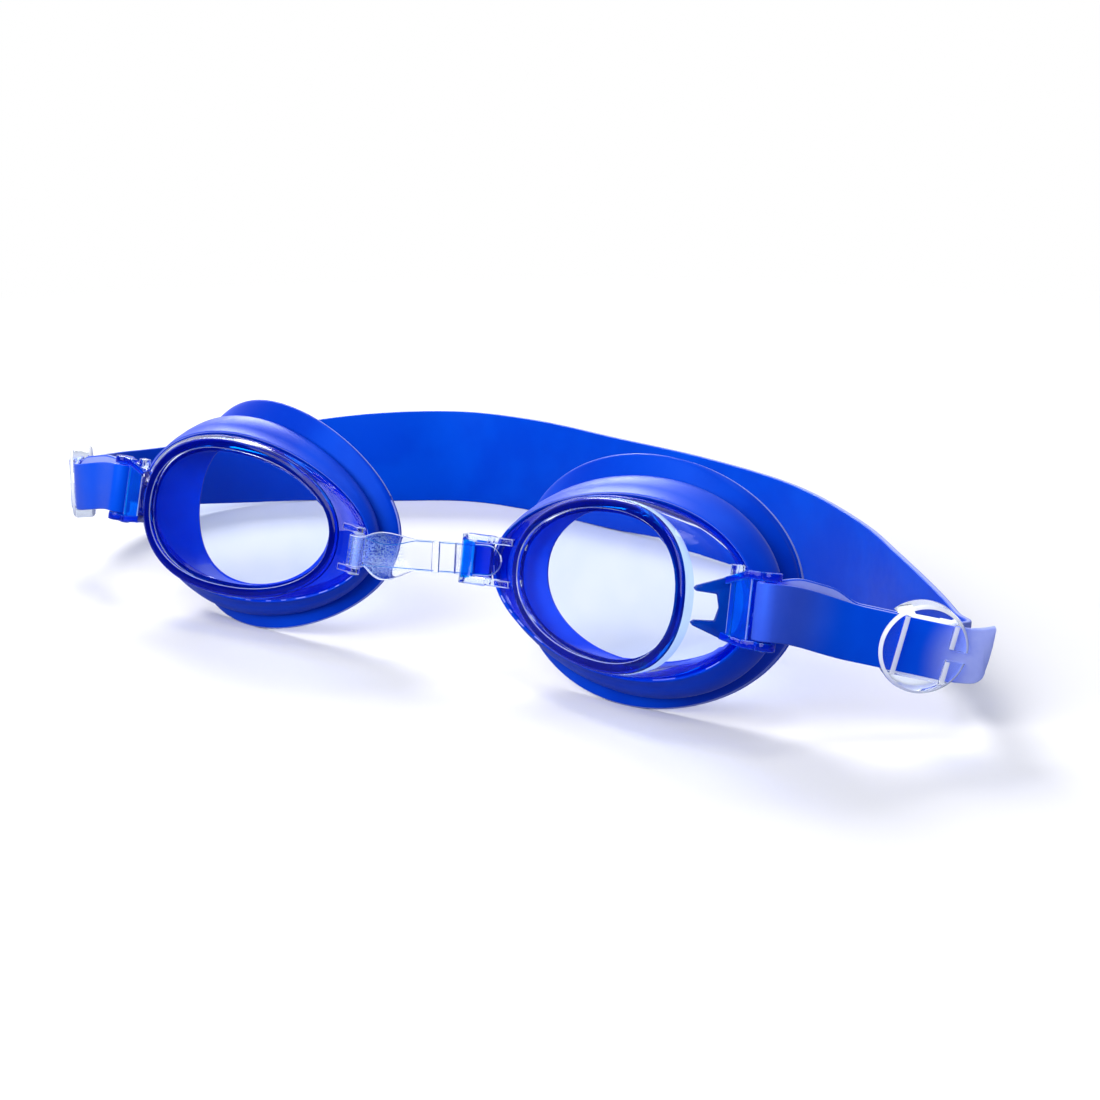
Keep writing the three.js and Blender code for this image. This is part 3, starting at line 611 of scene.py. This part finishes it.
def loop_lug(lens):
    """One upright bar between two arms, for the looped end of the nose bridge."""
    middle = Vector(((nasal_root.x + loop_bar.x) / 2, nasal_root.y / 2))
    nasal_arms(lens, [nasal_root, middle, loop_bar], nasal_arm_depth / 2, loop_bar_up)
    # Clear bosses with a painted highlight on their rounded edges, round a bar painted in the highlight finish.
    for low in (loop_bar_up - nasal_outer, loop_bar_up + nasal_inner):
        boss = upright_bar(
            "boss", loop_bar.x, loop_bar.y, nasal_arm_depth / 2 + seat_gap,
            low - arm_lap, low + nasal_arm_thickness + arm_lap)
        weld(lens, soften(tinted(boss, glass_clear), moulded_round, plastic=glass_highlight))
    half = nasal_arm_thickness / 2
    bar = upright_bar(
        "bar", loop_bar.x, loop_bar.y, loop_bar_radius,
        loop_bar_up - nasal_outer + half, loop_bar_up + nasal_outer - half)
    weld(lens, tinted(bar, glass_highlight))


def lock_lug(lens, along):
    """Two flat bars in a bent frame, between which the tongue of the bridge is threaded."""
    front = lock_bar - along * lock_bar_pitch
    offset = band_thickness / 2 + lock_gap + lock_bar_thickness / 2
    half = offset + lock_bar_thickness / 2
    rear_edge = lock_bar + along * lock_frame_past
    front_edge = front - along * (front_bar_width / 2 + arm_lap)
    nasal_arms(lens, [nasal_root, rear_edge - along * nasal_arm_thickness], nasal_arm_depth / 2, lock_bar_up)
    nasal_arms(lens, [rear_edge + along * arm_lap, front_edge], half, lock_bar_up, arm_lap)
    back = Vector((-along.y, along.x))
    inside = nasal_arm_thickness / 2
    rear = rear_edge - along * rear_bar_width / 2
    # The front bar is painted light blue with pale painted edges, the rear bar the seal's blue with navy painted
    # edges, as they look through the plastic.
    for centre, width, step, plastic, corner in (
        (front, front_bar_width, -offset, glass_sky, glass_pale),
        (rear, rear_bar_width, offset, glass_royal, glass_navy),
    ):
        middle = centre + back * step
        reach = along * width / 2
        outline = strip([middle - reach, middle + reach], lock_bar_thickness / 2)
        bar = plate("bar", outline, lock_bar_up - nasal_outer + inside, lock_bar_up + nasal_outer - inside)
        weld(lens, soften(tinted(bar, plastic), 0.4 * lock_bar_thickness, 4, plastic=corner))


loop_axis = Vector(joints["bridge_swivel"]["pos_m"])
lock_axis = right_cup @ Vector((lock_bar.x, lock_bar.y, lock_bar_up))
bridge_along = (lock_axis - loop_axis).normalized()
bridge_in_cup = right_cup.inverted().to_3x3() @ bridge_along
lock_along = Vector((bridge_in_cup.x, bridge_in_cup.y)).normalized()

right_lens = temple_lug(lens_shell())
lock_lug(right_lens, lock_along)
right_lens.name = "clear_right_lens"
left_lens = temple_lug(lens_shell())
loop_lug(left_lens)
left_lens.name = "clear_left_lens"


def dress(piece, body, slot, *nodes):
    """The body that a piece moves with and the solid that it stands for, which is hidden; slot is not used."""
    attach(piece, body)
    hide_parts(*nodes)


for piece, cup, body, node in (
    (right_lens, right_cup, "right_eyecup", "right_lens"),
    (left_lens, left_cup, "left_eyecup", "left_lens"),
):
    put(piece, cup)
    smooth(piece, 35)
    dress(piece, body, "lens", node)

# The face seals are royal-blue silicone, soft and satin. Each is one moulded skin: a collar pressed
# over the lens rim, a drawn-in neck and a wide rolled flange that rests on the face.
rim_thickness = 1.1 * mm
neck_draw_in = 3 * mm
# The thin band at the collar's edge by the lens and at the flange's rim is painted as a highlight; this is its width.
highlight_band_width = 0.22 * mm
flange_draw_in = 0.9 * mm
opening_round = 0.6 * mm
seal_hollow = 0.7 * mm


def seal_rings():
    rings = [
        moved(lens_seat, seat_gap, 0),
        moved(lens_seat, seat_gap + highlight_band_width, -highlight_band_width / 2),
        moved(collar_front, -collar_lip / 3, -collar_lip / 4),
        moved(collar_front, -collar_lip * 0.1, -collar_lip * 0.1),
        moved(collar_front, 0, collar_lip / 4),
        between(collar_front, collar_back, 0.3, collar_lip / 3),
        between(collar_front, collar_back, 0.6, collar_lip * 0.45),
        between(collar_front, collar_back, 0.85, collar_lip / 3),
        between(collar_front, collar_back, 0.95, collar_lip / 6),
        collar_back,
    ]
    for step in range(1, 12):
        share = step / 12
        draw = neck_draw_in * math.sin(math.pi * share ** 0.5) ** 1.1 * (1 - 0.35 * share)
        rings.append(between(collar_back, seal_rim, share, -draw))
    rings += [
        moved(seal_rim, -highlight_band_width, -highlight_band_width / 3),
        moved(seal_rim, 0, highlight_band_width),
        moved(seal_rim, -rim_thickness * 0.08, rim_thickness * 0.75),
        moved(seal_rim, -rim_thickness / 4, rim_thickness),
    ]
    for step in range(1, 9):
        share = step / 9
        sag = seal_hollow * math.sin(math.pi * min(1, share / 0.9))
        rings.append(between(moved(seal_rim, -rim_thickness / 4, rim_thickness), eye_opening, share, 0, -sag))
    rings += [
        moved(eye_opening, opening_round / 2, opening_round),
        moved(eye_opening, opening_round * 0.1, opening_round * 0.5),
        eye_opening,
        moved(eye_opening, opening_round / 2, -opening_round / 3),
        moved(lens_rear, -lens_wall, seat_gap),
        moved(lens_rear, seat_gap, seat_gap),
    ]
    return rings


def silicone(name, deep, bright, ends=(), paler=0):
    """Satin silicone: a faint cloudiness in the colour, a fine dry grain, paler near given points, and for
    painted-highlight edges paler all over.
    """
    finish = Finish(name)
    cloud = finish.noise(55, 3)
    grain = finish.noise(2600, 2)
    dust = finish.noise(380, 4, 0.6)
    colour = finish.colours(finish.level(cloud, 0.35, 0.65), deep, bright)
    colour = finish.colours(finish.level(dust, 0.55, 0.8) * 0.12, colour, royal_sheen)
    # Paler round each given point, fading out by 15 mm.
    for tip, share in ends:
        near = finish.level(finish.away(tip), 15 * mm, 5 * mm)
        colour = finish.colours(near * (dust * 0.35 + 0.7) * share, colour, royal_pale_highlight)
    # Paler all over, for edge faces that carry a painted highlight.
    if paler:
        colour = finish.colours(dust * 0.2 + paler, colour, royal_pale_highlight)
    shader = finish.node(
        "ShaderNodeBsdfPrincipled", None, 0, Base_Color=colour, Roughness=0.34 + dust * 0.14,
        Normal=finish.bump(grain, 0.12, 0.05 * mm), IOR=1.45, Specular_Tint=(0.06, 0.27, 1, 1),
    )
    return finish.end(shader)


royal_deep = (0.0, 0.06, 0.66, 1)
royal_bright = (0.0, 0.08, 0.74, 1)
royal_sheen = (0.01, 0.1, 0.72, 1)
# The pale blue of the painted highlights and of the paler tab tips.
royal_pale_highlight = (0.45, 0.51, 0.95, 1)
# The seal's colours are the strap's silicone darkened, a painted shade that holds down the strong top light on the
# seals.
seal_shaded_deep = (0.0, 0.036, 0.52, 1)
seal_shaded_bright = (0.0, 0.052, 0.6, 1)
seal_silicone = silicone("seal_silicone", seal_shaded_deep, seal_shaded_bright)
# The seal's edge finish is a painted highlight on those thin bands.
seal_edge_highlight = silicone("seal_edge_highlight", seal_shaded_deep, seal_shaded_bright, paler=0.5)
rim_ring = 21
for side, cup in (("right", right_cup), ("left", left_cup)):
    rings = seal_rings()
    highlight_bands = [(0, 1)] + [(first, first + 1) for first in (rim_ring,)]
    seal = loft(f"blue_{side}_seal", [oval_points(ring) for ring in rings], tyre=True)
    put(seal, cup)
    smooth(seal, 50)
    seal.data.materials.append(seal_silicone)
    seal.data.materials.append(seal_edge_highlight)
    for face in seal.data.polygons:
        first, last = min(face.vertices) // lens_points, max(face.vertices) // lens_points
        face.material_index = int((first, last) in highlight_bands)
    dress(seal, f"{side}_eyecup", "face_seal", f"{side}_gasket")

# The head strap is one moulded band of the same silicone: wide at the back of the head, narrow at
# both ends. Each end is folded round a lens post and comes back through a buckle as a free tab.
vertical = Vector((0, 0, 1))
strap_thickness = 1.1 * mm
strap_edge_round = 0.28 * mm
strap_wide = 23 * mm
strap_reach = 120 * mm
strap_layer_gap = 0.4 * mm
strap_merge_length = 9.5 * mm
inner_run_past_buckle = 3.4 * mm
layer_rise = 1.5 * mm
rise_start_share = 0.35
rise_end_share = 0.38
tab_length = 14.1 * mm
tab_rise = 1.9 * mm
tab_bend = 5 * mm
tab_slant = 2.6 * mm
tab_corner = 2.2 * mm
tab_tip = 0.8 * mm
buckle_radius = 8.1 * mm
buckle_travel = 4 * mm
bend_steps = 24
route_steps = 16
strap_route_shares = [
    (0.846, 0.216, -0.077, 0), (0.84, 0.277, -0.091, 0.01), (0.79, 0.35, -0.106, 0.05),
    (0.733, 0.408, -0.1, 0.12), (0.6, 0.542, -0.1022, 0.4), (0.458, 0.692, -0.1143, 0.67),
    (0.25, 0.833, -0.1113, 0.835), (0.017, 0.908, -0.103, 0.85), (-0.2, 0.95, -0.104, 0.95),
    (-0.43, 0.995, -0.103, 1), (-0.6, 0.988, -0.103, 1), (-0.735, 0.905, -0.104, 0.98),
    (-0.867, 0.82, -0.112, 0.82), (-0.965, 0.69, -0.117, 0.58), (-1.005, 0.52, -0.104, 0.33),
    (-0.985, 0.35, -0.071, 0.09),
]
strap_origin = Vector((6.0712, -56.4664, 23.86)) * mm
right_post = right_cup @ Vector((post_along, post_back, 0))
left_post = left_cup @ Vector((post_along, post_back, 0))
right_up = right_cup.to_3x3() @ vertical
left_up = left_cup.to_3x3() @ vertical


def heading(angle, drop):
    return Vector((math.cos(math.radians(angle)), math.sin(math.radians(angle)), -drop)).normalized()


right_buckle_place = strap_origin + Vector((98.2, 19.2, -7.4)) * mm
left_buckle_place = strap_origin + Vector((-107.2, 21, -4.3)) * mm
right_buckle_along = heading(40, 0.25)
left_buckle_along = heading(134, 0.14)


def soft_step(value):
    value = min(1, max(0, value))
    return value * value * (3 - 2 * value)


def bezier(points, share):
    a, b, c, d = points
    rest = 1 - share
    return a * rest ** 3 + b * 3 * rest ** 2 * share + c * 3 * rest * share ** 2 + d * share ** 3


def folded_end(post, post_up, buckle, along, mirror):
    """Where the two layers of a folded end run, from the lens post to the buckle."""
    straight = buckle - along * (buckle_radius + buckle_travel)
    leaving = straight - post
    reach = leaving.length / 3
    leaving = (leaving - post_up * leaving.dot(post_up)).normalized() * reach
    corners = (post, post + leaving, straight - along * reach, straight)
    samples = [bezier(corners, step / 200) for step in range(201)]
    curved = sum((b - a).length for a, b in zip(samples, samples[1:]))
    wrap = post_radius + run_gap + strap_thickness / 2
    layer = (strap_thickness + strap_layer_gap) / 2
    stations = []
    for step in range(bend_steps + 1):
        share = step / bend_steps
        near, far = max(0, share - 0.001), min(1, share + 0.001)
        tangent = (bezier(corners, far) - bezier(corners, near)).normalized()
        up = post_up.lerp(vertical, share).normalized()
        out = tangent.cross(up).normalized() * mirror
        half = wrap + (layer - wrap) * soft_step(curved * share / strap_merge_length)
        rise = layer_rise * soft_step(min(share / rise_start_share, (1 - share) / rise_end_share))
        stations.append((bezier(corners, share), up, out, half, rise, tangent))
    return {"stations": stations, "wrap": wrap, "layer": layer, "buckle": buckle, "along": along}


def tab_end(end):
    """The free tab, from its slanted tip back to the buckle."""
    outward = end["stations"][-1][2]
    rows = []
    square = tab_length - tab_slant

    def point(distance):
        lift = tab_rise * max(0, (distance - tab_bend) / (tab_length - tab_bend)) ** 2
        return end["buckle"] + end["along"] * distance + outward * end["layer"] + vertical * lift

    def row(distance, width):
        rows.append((point(distance), vertical, width, (strap_narrow - width) / 2))

    full = strap_narrow - tab_corner
    for step in range(7):
        share = step / 6
        row(tab_length + (square - tab_length) * share, tab_tip + (full - tab_tip) * share)
    for step in range(1, 7):
        angle = math.pi / 2 * step / 6
        row(square - tab_corner * (1 - math.cos(angle)), full + tab_corner * math.sin(angle))
    start = square - tab_corner
    for step in range(1, 13):
        row(start * (1 - step / 12), strap_narrow)
    return rows


def tab_tip_place(end):
    return end["buckle"] + end["along"] * tab_length + end["stations"][-1][2] * end["layer"]


def end_rows(end):
    rows = tab_end(end)
    for point, up, out, half, rise, tangent in reversed(end["stations"]):
        rows.append((point + out * half, up, strap_narrow, 0))
    point, up, out, half, rise, tangent = end["stations"][0]
    for step in range(1, bend_steps):
        angle = math.pi * step / bend_steps
        ring = out * end["wrap"] * math.cos(angle) - tangent * end["wrap"] * math.sin(angle)
        rows.append((point + ring, up, strap_narrow, 0))
    for point, up, out, half, rise, tangent in end["stations"]:
        rows.append((point - out * half, up, strap_narrow, rise))
    return rows


def inner_point(end, distance):
    return end["buckle"] + end["along"] * distance - end["stations"][-1][2] * end["layer"]


def through(knots, steps):
    """A smooth line through points, whose last value is the share of the strap's width."""
    first = knots[0] * 2 - knots[1]
    last = knots[-1] * 2 - knots[-2]
    chain = [first] + knots + [last]
    line = []
    for a, b, c, d in zip(chain, chain[1:], chain[2:], chain[3:]):
        gaps = [math.sqrt((q.xyz - p.xyz).length) for p, q in ((a, b), (b, c), (c, d))]
        leave = ((b - a) / gaps[0] - (c - a) / (gaps[0] + gaps[1]) + (c - b) / gaps[1]) * gaps[1]
        arrive = ((c - b) / gaps[1] - (d - b) / (gaps[1] + gaps[2]) + (d - c) / gaps[2]) * gaps[1]
        for step in range(steps):
            t = step / steps
            line.append(
                b * (2 * t ** 3 - 3 * t ** 2 + 1) + leave * (t ** 3 - 2 * t ** 2 + t)
                + c * (3 * t ** 2 - 2 * t ** 3) + arrive * (t ** 3 - t ** 2)
            )
    return line + [knots[-1]]


right_end = folded_end(right_post, right_up, right_buckle_place, right_buckle_along, 1)
left_end = folded_end(left_post, left_up, left_buckle_place, left_buckle_along, -1)


def strap_rows():
    knots = [inner_point(right_end, 0), inner_point(right_end, inner_run_past_buckle)]
    wides = [0, 0]
    for x, y, z, wide in strap_route_shares:
        knots.append(strap_origin + Vector((x, y, z)) * strap_reach)
        wides.append(wide)
    knots += [inner_point(left_end, inner_run_past_buckle), inner_point(left_end, 0)]
    wides += [0, 0]
    line = through([Vector((*knot, wide)) for knot, wide in zip(knots, wides)], route_steps)
    rows = end_rows(right_end)
    for spot in line:
        wide = min(1, max(0, spot.w))
        rows.append((spot.xyz, vertical, strap_narrow + (strap_wide - strap_narrow) * wide, 0))
    return rows + end_rows(left_end)[::-1]


def strap_rings():
    rows = strap_rows()
    thin = strap_thickness / 2
    rings = []
    for step, (point, upright, width, lift) in enumerate(rows):
        before = rows[max(step - 1, 0)][0]
        after = rows[min(step + 1, len(rows) - 1)][0]
        tangent = (after - before).normalized()
        across = tangent.cross(upright).normalized()
        up = across.cross(tangent)
        tall = width / 2
        ring = []
        for corner in range(4):
            for turn in range(4):
                angle = math.pi / 2 * (corner + turn / 3)
                round_x = strap_edge_round * math.cos(angle)
                round_y = strap_edge_round * math.sin(angle)
                side = 1 if corner in (0, 3) else -1
                rise = 1 if corner in (0, 1) else -1
                a = side * (thin - strap_edge_round) + round_x
                b = rise * (tall - strap_edge_round) + round_y
                ring.append(point + across * a + up * (b + lift))
        rings.append(ring)
    return rings


strap_corners = 16
end_row_count = len(end_rows(right_end))
strap_row_count = len(strap_rows())


def strap_finish(face):
    """Painted highlight: the top edges of the strap and the face between the two layers of an end get the paler
    finish.
    """
    places = corners_of(strap, face)
    row = min(face.vertices) // strap_corners
    from_tab = min(row, strap_row_count - 1 - row)
    layered = end_row_count - bend_steps - 2 < from_tab < end_row_count
    return int(places == {3, 4} or (places == {0, strap_corners - 1} and layered))


strap = loft("blue_head_strap", strap_rings())
smooth(strap, 50)
# Paler towards each tab tip, and a faint painted highlight where the strap folds round the right post.
pale_spots = [(tab_tip_place(right_end), 1), (tab_tip_place(left_end), 1), (right_post, 0.1)]
strap.data.materials.append(silicone("strap_silicone", royal_deep, royal_bright, pale_spots))
# The strap's edge finish is a painted highlight.
strap.data.materials.append(silicone("strap_edge", royal_deep, royal_bright, paler=0.6))
for face in strap.data.polygons:
    face.material_index = strap_finish(face)
dress(strap, "strap", "strap", "head_strap")

# The nose bridge is a soft band of clear plastic with a frosted patch: a loop turns on the bar of the
# left lens, two curled wings hug the nose, and the ribbed tongue is threaded through the right lug.
band_waist = 4.9 * mm
pad_height = 9.3 * mm
pad_down = 0.55 * mm
pad_start = 1.7 * mm
pad_peak = 7.8 * mm
pad_end = 12.8 * mm
rib_height = 0.55 * mm
rib_starts = (16.6 * mm, 21.4 * mm)
rib_width = 1.5 * mm
rib_round = 0.08 * mm
tongue_past = 3.6 * mm
wing_curl = 1.7 * mm
channel_hollow = 0.35 * mm
crease_width = 0.14 * mm
band_steps = 96
band_straight_steps = 84
tongue_blunt_share = 0.02
bridge_length = (lock_axis - loop_axis).length + tongue_past


def piece_frame(origin, along, up):
    back = up.cross(along).normalized()
    across = back.cross(up).normalized()
    return place_frame(origin, across, back, up.normalized())


mean_up = left_up + right_up
bridge_up = mean_up - bridge_along * mean_up.dot(bridge_along)
bridge_frame = piece_frame(loop_axis, bridge_along, bridge_up)
loop_turn = bridge_frame.inverted() @ piece_frame(loop_axis, bridge_along, left_up)


def band_rings():
    """Cross sections of the band: a flat channel between two creases, and a curled wing beyond each."""
    rings = []
    half = band_height / 2
    thin = band_thickness / 2
    for step in range(band_steps + 1):
        share = min(1, step / band_straight_steps)
        turned = math.pi / 2 * max(0, step - band_straight_steps) / (band_steps - band_straight_steps)
        x = (bridge_length - half) * share + half * math.sin(turned)
        blunt = max(math.cos(turned), tongue_blunt_share)
        along = min(1, max(0, (x - pad_start) / (pad_end - pad_start)))
        wing = math.sin(math.pi * along ** 0.9) ** 1.3
        crease = (half - crease_width * 2 + (band_waist / 2 - half) * wing) * blunt
        rim = crease + (crease_width * 2 + (pad_height / 2 - band_waist / 2) * wing) * blunt
        heights = (
            -rim, -rim + crease_width * blunt, -crease - crease_width * blunt / 2, -crease + crease_width * blunt / 2,
            -crease / 2, 0, crease / 2,
            crease - crease_width * blunt / 2, crease + crease_width * blunt / 2, rim - crease_width * blunt, rim,
        )
        front, back = [], []
        for height in heights:
            past = max(0, abs(height) - crease) / (rim - crease)
            forward = wing_curl * wing * past ** 1.4 - channel_hollow * wing * max(0, 1 - abs(height) / crease)
            thick = thin * (0.6 if past > 0.99 else 1)
            front.append(Vector((x, -forward - thick, height - pad_down * wing)))
            back.append(Vector((x, -forward + thick, height - pad_down * wing)))
        rings.append(front + back[::-1])
    return rings


def band_plastic(face):
    """The rims of the wings get a painted highlight and their creases painted shade; all else of the band is clear.
    """
    places = sorted(corners_of(bridge, face))
    if len(places) != 2:
        return bridge_clear
    low, high = places
    if high - low > 1:
        return bridge_highlight
    if low >= band_corners // 2:
        low = band_corners - 2 - low
    return {0: bridge_highlight, 9: bridge_highlight, 2: bridge_shade, 7: bridge_shade}.get(low, bridge_clear)


band_corners = 22
bridge_clear, bridge_highlight, bridge_shade = range(3)
frost_centre = 3.5 * mm
frosted = {"frost": loop_axis + bridge_along * frost_centre, "far": 8 * mm, "near": 3 * mm}
bridge_plastics = [
    clear_plastic("bridge_clear", (0.96, 0.97, 1, 1), (0.92, 0.94, 1, 1), 0.04, index=1.22, **frosted),
    clear_plastic("bridge_highlight", (0.9, 0.92, 0.98, 1), (0.8, 0.84, 0.95, 1), 0.15, 0.4, gloss=0.5),
    clear_plastic("bridge_shade", (0.02, 0.22, 0.62, 1), (0.01, 0.16, 0.55, 1), 0.05, 0.4, gloss=0.3),
]


def bridge_part(piece, rule):
    for plastic in bridge_plastics:
        piece.data.materials.append(plastic)
    for face in piece.data.polygons:
        face.material_index = rule(face)
    return piece


bridge = loft("clear_nose_bridge", band_rings())
bridge_part(bridge, band_plastic)
loop_inner = loop_bar_radius + run_gap
loop_outer = loop_inner + band_thickness
tube = upright_bar("tube", 0, 0, loop_outer, -band_height / 2, band_height / 2, 48)
bridge_part(settle(tube), lambda face: bridge_clear)
# The loop's rounded edges get a painted highlight.
soften(tube, 0.15 * mm, plastic=bridge_highlight)
weld(bridge, put(tube, loop_turn))
hole = settle(upright_bar("hole", 0, 0, loop_inner, -band_height, band_height, 48))
weld(bridge, put(hole, loop_turn), "DIFFERENCE")
for start in rib_starts:
    rib = block(
        "rib", (start, -band_thickness / 2 - rib_height, -band_height / 2),
        (start + rib_width, band_thickness / 2, band_height / 2))
    # Each rib's face towards the tongue's tip is painted shade, and its rounded edges get a painted highlight.
    bridge_part(rib, lambda face: bridge_shade if face.normal.x > 0.9 else bridge_clear)
    weld(bridge, soften(rib, rib_round, 3, plastic=bridge_highlight))
put(bridge, bridge_frame)
smooth(bridge, 35)
dress(bridge, "bridge", "bridge", "nose_bridge")

# The buckles are clear round discs: the doubled strap runs through the slot, two outer bars cross
# its front, and a bar in the middle holds it from behind. One front bar is split for threading.
buckle_bar_thickness = 0.85 * mm
buckle_bevel = 1.1 * mm
buckle_border = 0.7 * mm
buckle_border_proud = 0.15 * mm
buckle_edge_round = 0.3 * mm
buckle_flat_share = 0.92
buckle_side_share = 0.2
# The buckle's edge finish is painted white, a painted highlight for its raised borders and bevels.
buckle_plastics = [
    clear_plastic("buckle_clear", (0.93, 0.97, 0.99, 1), (0.88, 0.94, 0.98, 1), 0.02, index=1.25),
    clear_plastic("buckle_edge", (1, 1, 1, 1), (0.93, 0.94, 0.97, 1), 0.15, 0.2, 1.45, gloss=0.5),
]
buckle_window_half = 4.3 * mm
buckle_centre_bar = 4.6 * mm
buckle_prong_gap = 2 * mm
slot_half = strap_thickness + strap_layer_gap / 2 + run_gap
buckle_half = slot_half + buckle_bar_thickness


def disc():
    """x runs along the strap away from the lens, y towards the head, z up."""
    piece = new_piece(
        "disc", bpy.ops.mesh.primitive_cylinder_add, vertices=96, radius=buckle_radius, depth=2 * buckle_half)
    soften(piece, buckle_bevel, 4, 60)
    put(piece, Matrix.Rotation(math.pi / 2, 4, "X"))
    reach = buckle_radius * 1.3
    high = strap_narrow / 2 + run_gap
    front, back = -buckle_half * 1.5, buckle_half * 1.5
    bar = buckle_centre_bar / 2
    cuts = [
        ((-reach, -slot_half, -high), (reach, slot_half, high)),
        ((-buckle_window_half, front, -high), (buckle_window_half, 0, high)),
        ((-reach, 0, -high), (-bar, back, high)),
        ((bar, 0, -high), (reach, back, high)),
        ((0, front, -buckle_prong_gap / 2), (reach, 0, buckle_prong_gap / 2)),
    ]
    for low, top in cuts:
        weld(piece, block("cut", low, top), "DIFFERENCE")
    proud, flush = -buckle_half - buckle_border_proud, -slot_half - buckle_bar_thickness / 3
    inner, outer = buckle_window_half - buckle_border / 4, buckle_window_half + buckle_border
    prong = buckle_prong_gap / 2 + buckle_border_proud
    borders = [
        ((-outer, proud, -high), (-inner, flush, high)),
        ((inner, proud, prong), (outer, flush, high)),
        ((inner, proud, -high), (outer, flush, -prong)),
    ]
    for low, top in borders:
        weld(piece, block("border", low, top))
    soften(piece, buckle_edge_round, 2, 50)
    for plastic in buckle_plastics:
        piece.data.materials.append(plastic)
    # Raised borders and sloping bevel faces get the painted highlight.
    for face in piece.data.polygons:
        raised = face.center.y < -buckle_half - buckle_border_proud / 2
        face.material_index = int(raised or buckle_side_share < abs(face.normal.y) < buckle_flat_share)
    return piece


for side, place, along, outward in (
    ("right", right_buckle_place, right_buckle_along, right_end["stations"][-1][2]),
    ("left", left_buckle_place, left_buckle_along, left_end["stations"][-1][2]),
):
    buckle = disc()
    buckle.name = f"clear_{side}_buckle"
    put(buckle, place_frame(place, along, -outward, along.cross(-outward).normalized()))
    smooth(buckle, 35)
    dress(buckle, f"{side}_slider", "buckle", f"{side}_buckle")

# The studio: a pale floor that runs out to a white room, and broad soft lamps above it. What the
# camera, gloss and clear plastic see of it is white; what it throws on the goggles is dimmer.
floor_side = 6
floor = new_piece("floor", bpy.ops.mesh.primitive_plane_add, size=floor_side)
floor_paint = Finish("floor_paint")


def ray(finish, kind):
    return finish.node("ShaderNodeLightPath", None, f"Is {kind} Ray")


def seen_straight(finish):
    """1 for what the camera sees, also through clear plastic, less in its gloss, 0 for matt surfaces."""
    scattered = finish.node("ShaderNodeLightPath", None, "Diffuse Depth")
    glinting = finish.node("ShaderNodeLightPath", None, "Glossy Depth")
    kept = 1 - finish.maths("MINIMUM", glinting, 1) * gloss_loss_share
    return (ray(finish, "Camera") + ray(finish, "Transmission")) * finish.maths("LESS_THAN", scattered, 1) * kept


gloss_loss_share = 0.7


speckle = floor_paint.noise(40, 2)
floor_colour = floor_paint.colours(speckle, (0.9, 0.885, 0.87, 1), (0.92, 0.905, 0.89, 1))
matt = floor_paint.node("ShaderNodeBsdfDiffuse", None, 0, Color=floor_colour)
plain_white = floor_paint.node("ShaderNodeEmission", None, 0, Color=(1, 1, 1, 1), Strength=1)
far = floor_paint.level(floor_paint.away((0, 0, 0)), 0.22, 0.5)
seen_floor = floor_paint.node("ShaderNodeMixShader", None, 0, _0=far, _1=matt, _2=plain_white)
dim_floor = floor_paint.node("ShaderNodeBsdfDiffuse", None, 0, Color=(0.2, 0.23, 0.34, 1))
seen = seen_straight(floor_paint) + ray(floor_paint, "Glossy") * 0.15
floor.data.materials.append(floor_paint.end(floor_paint.node(
    "ShaderNodeMixShader", None, 0, _0=seen, _1=dim_floor, _2=seen_floor)))

room = Finish("room", world=True)
back_wall = room.node("ShaderNodeVectorMath", {"operation": "DOT_PRODUCT"}, "Value",
    _0=room.node("ShaderNodeTexCoord", None, "Generated"), _1=(-0.4, 0.75, 0.52))
glossed = ray(room, "Glossy")
seen = seen_straight(room)
white = room.node("ShaderNodeBackground", None, 0, Color=(1, 1, 1, 1), Strength=seen + glossed * (
    0.04 + room.level(back_wall, 0, 0.9)))
dim = room.node("ShaderNodeBackground", None, 0, Color=(0.5, 0.62, 1, 1), Strength=0.25)
bpy.context.scene.world = room.end(room.node("ShaderNodeMixShader", None, 0, _0=seen + glossed, _1=dim, _2=white))


def soft_lamp(name, place, target, size, power):
    bpy.ops.object.select_all(action="DESELECT")
    bpy.ops.object.light_add(type="AREA")
    lamp = bpy.context.object
    lamp.name = name
    lamp.data.size = size
    lamp.data.energy = power
    facing = (Vector(place) - Vector(target)).to_track_quat("Z", "Y")
    lamp.matrix_world = Matrix.Translation(place) @ facing.to_matrix().to_4x4()


soft_lamp("front_lamp", (-0.05, -1, 0.65), (0, 0, 0), 1, 16.5)
soft_lamp("top_lamp", (0.1, 0, 1.1), (0, 0, 0), 0.3, 2)
soft_lamp("back_lamp", (-0.7, 0.5, 0.7), (0, 0, 0), 0.4, 9)

bpy.context.scene.view_settings.view_transform = "Standard"
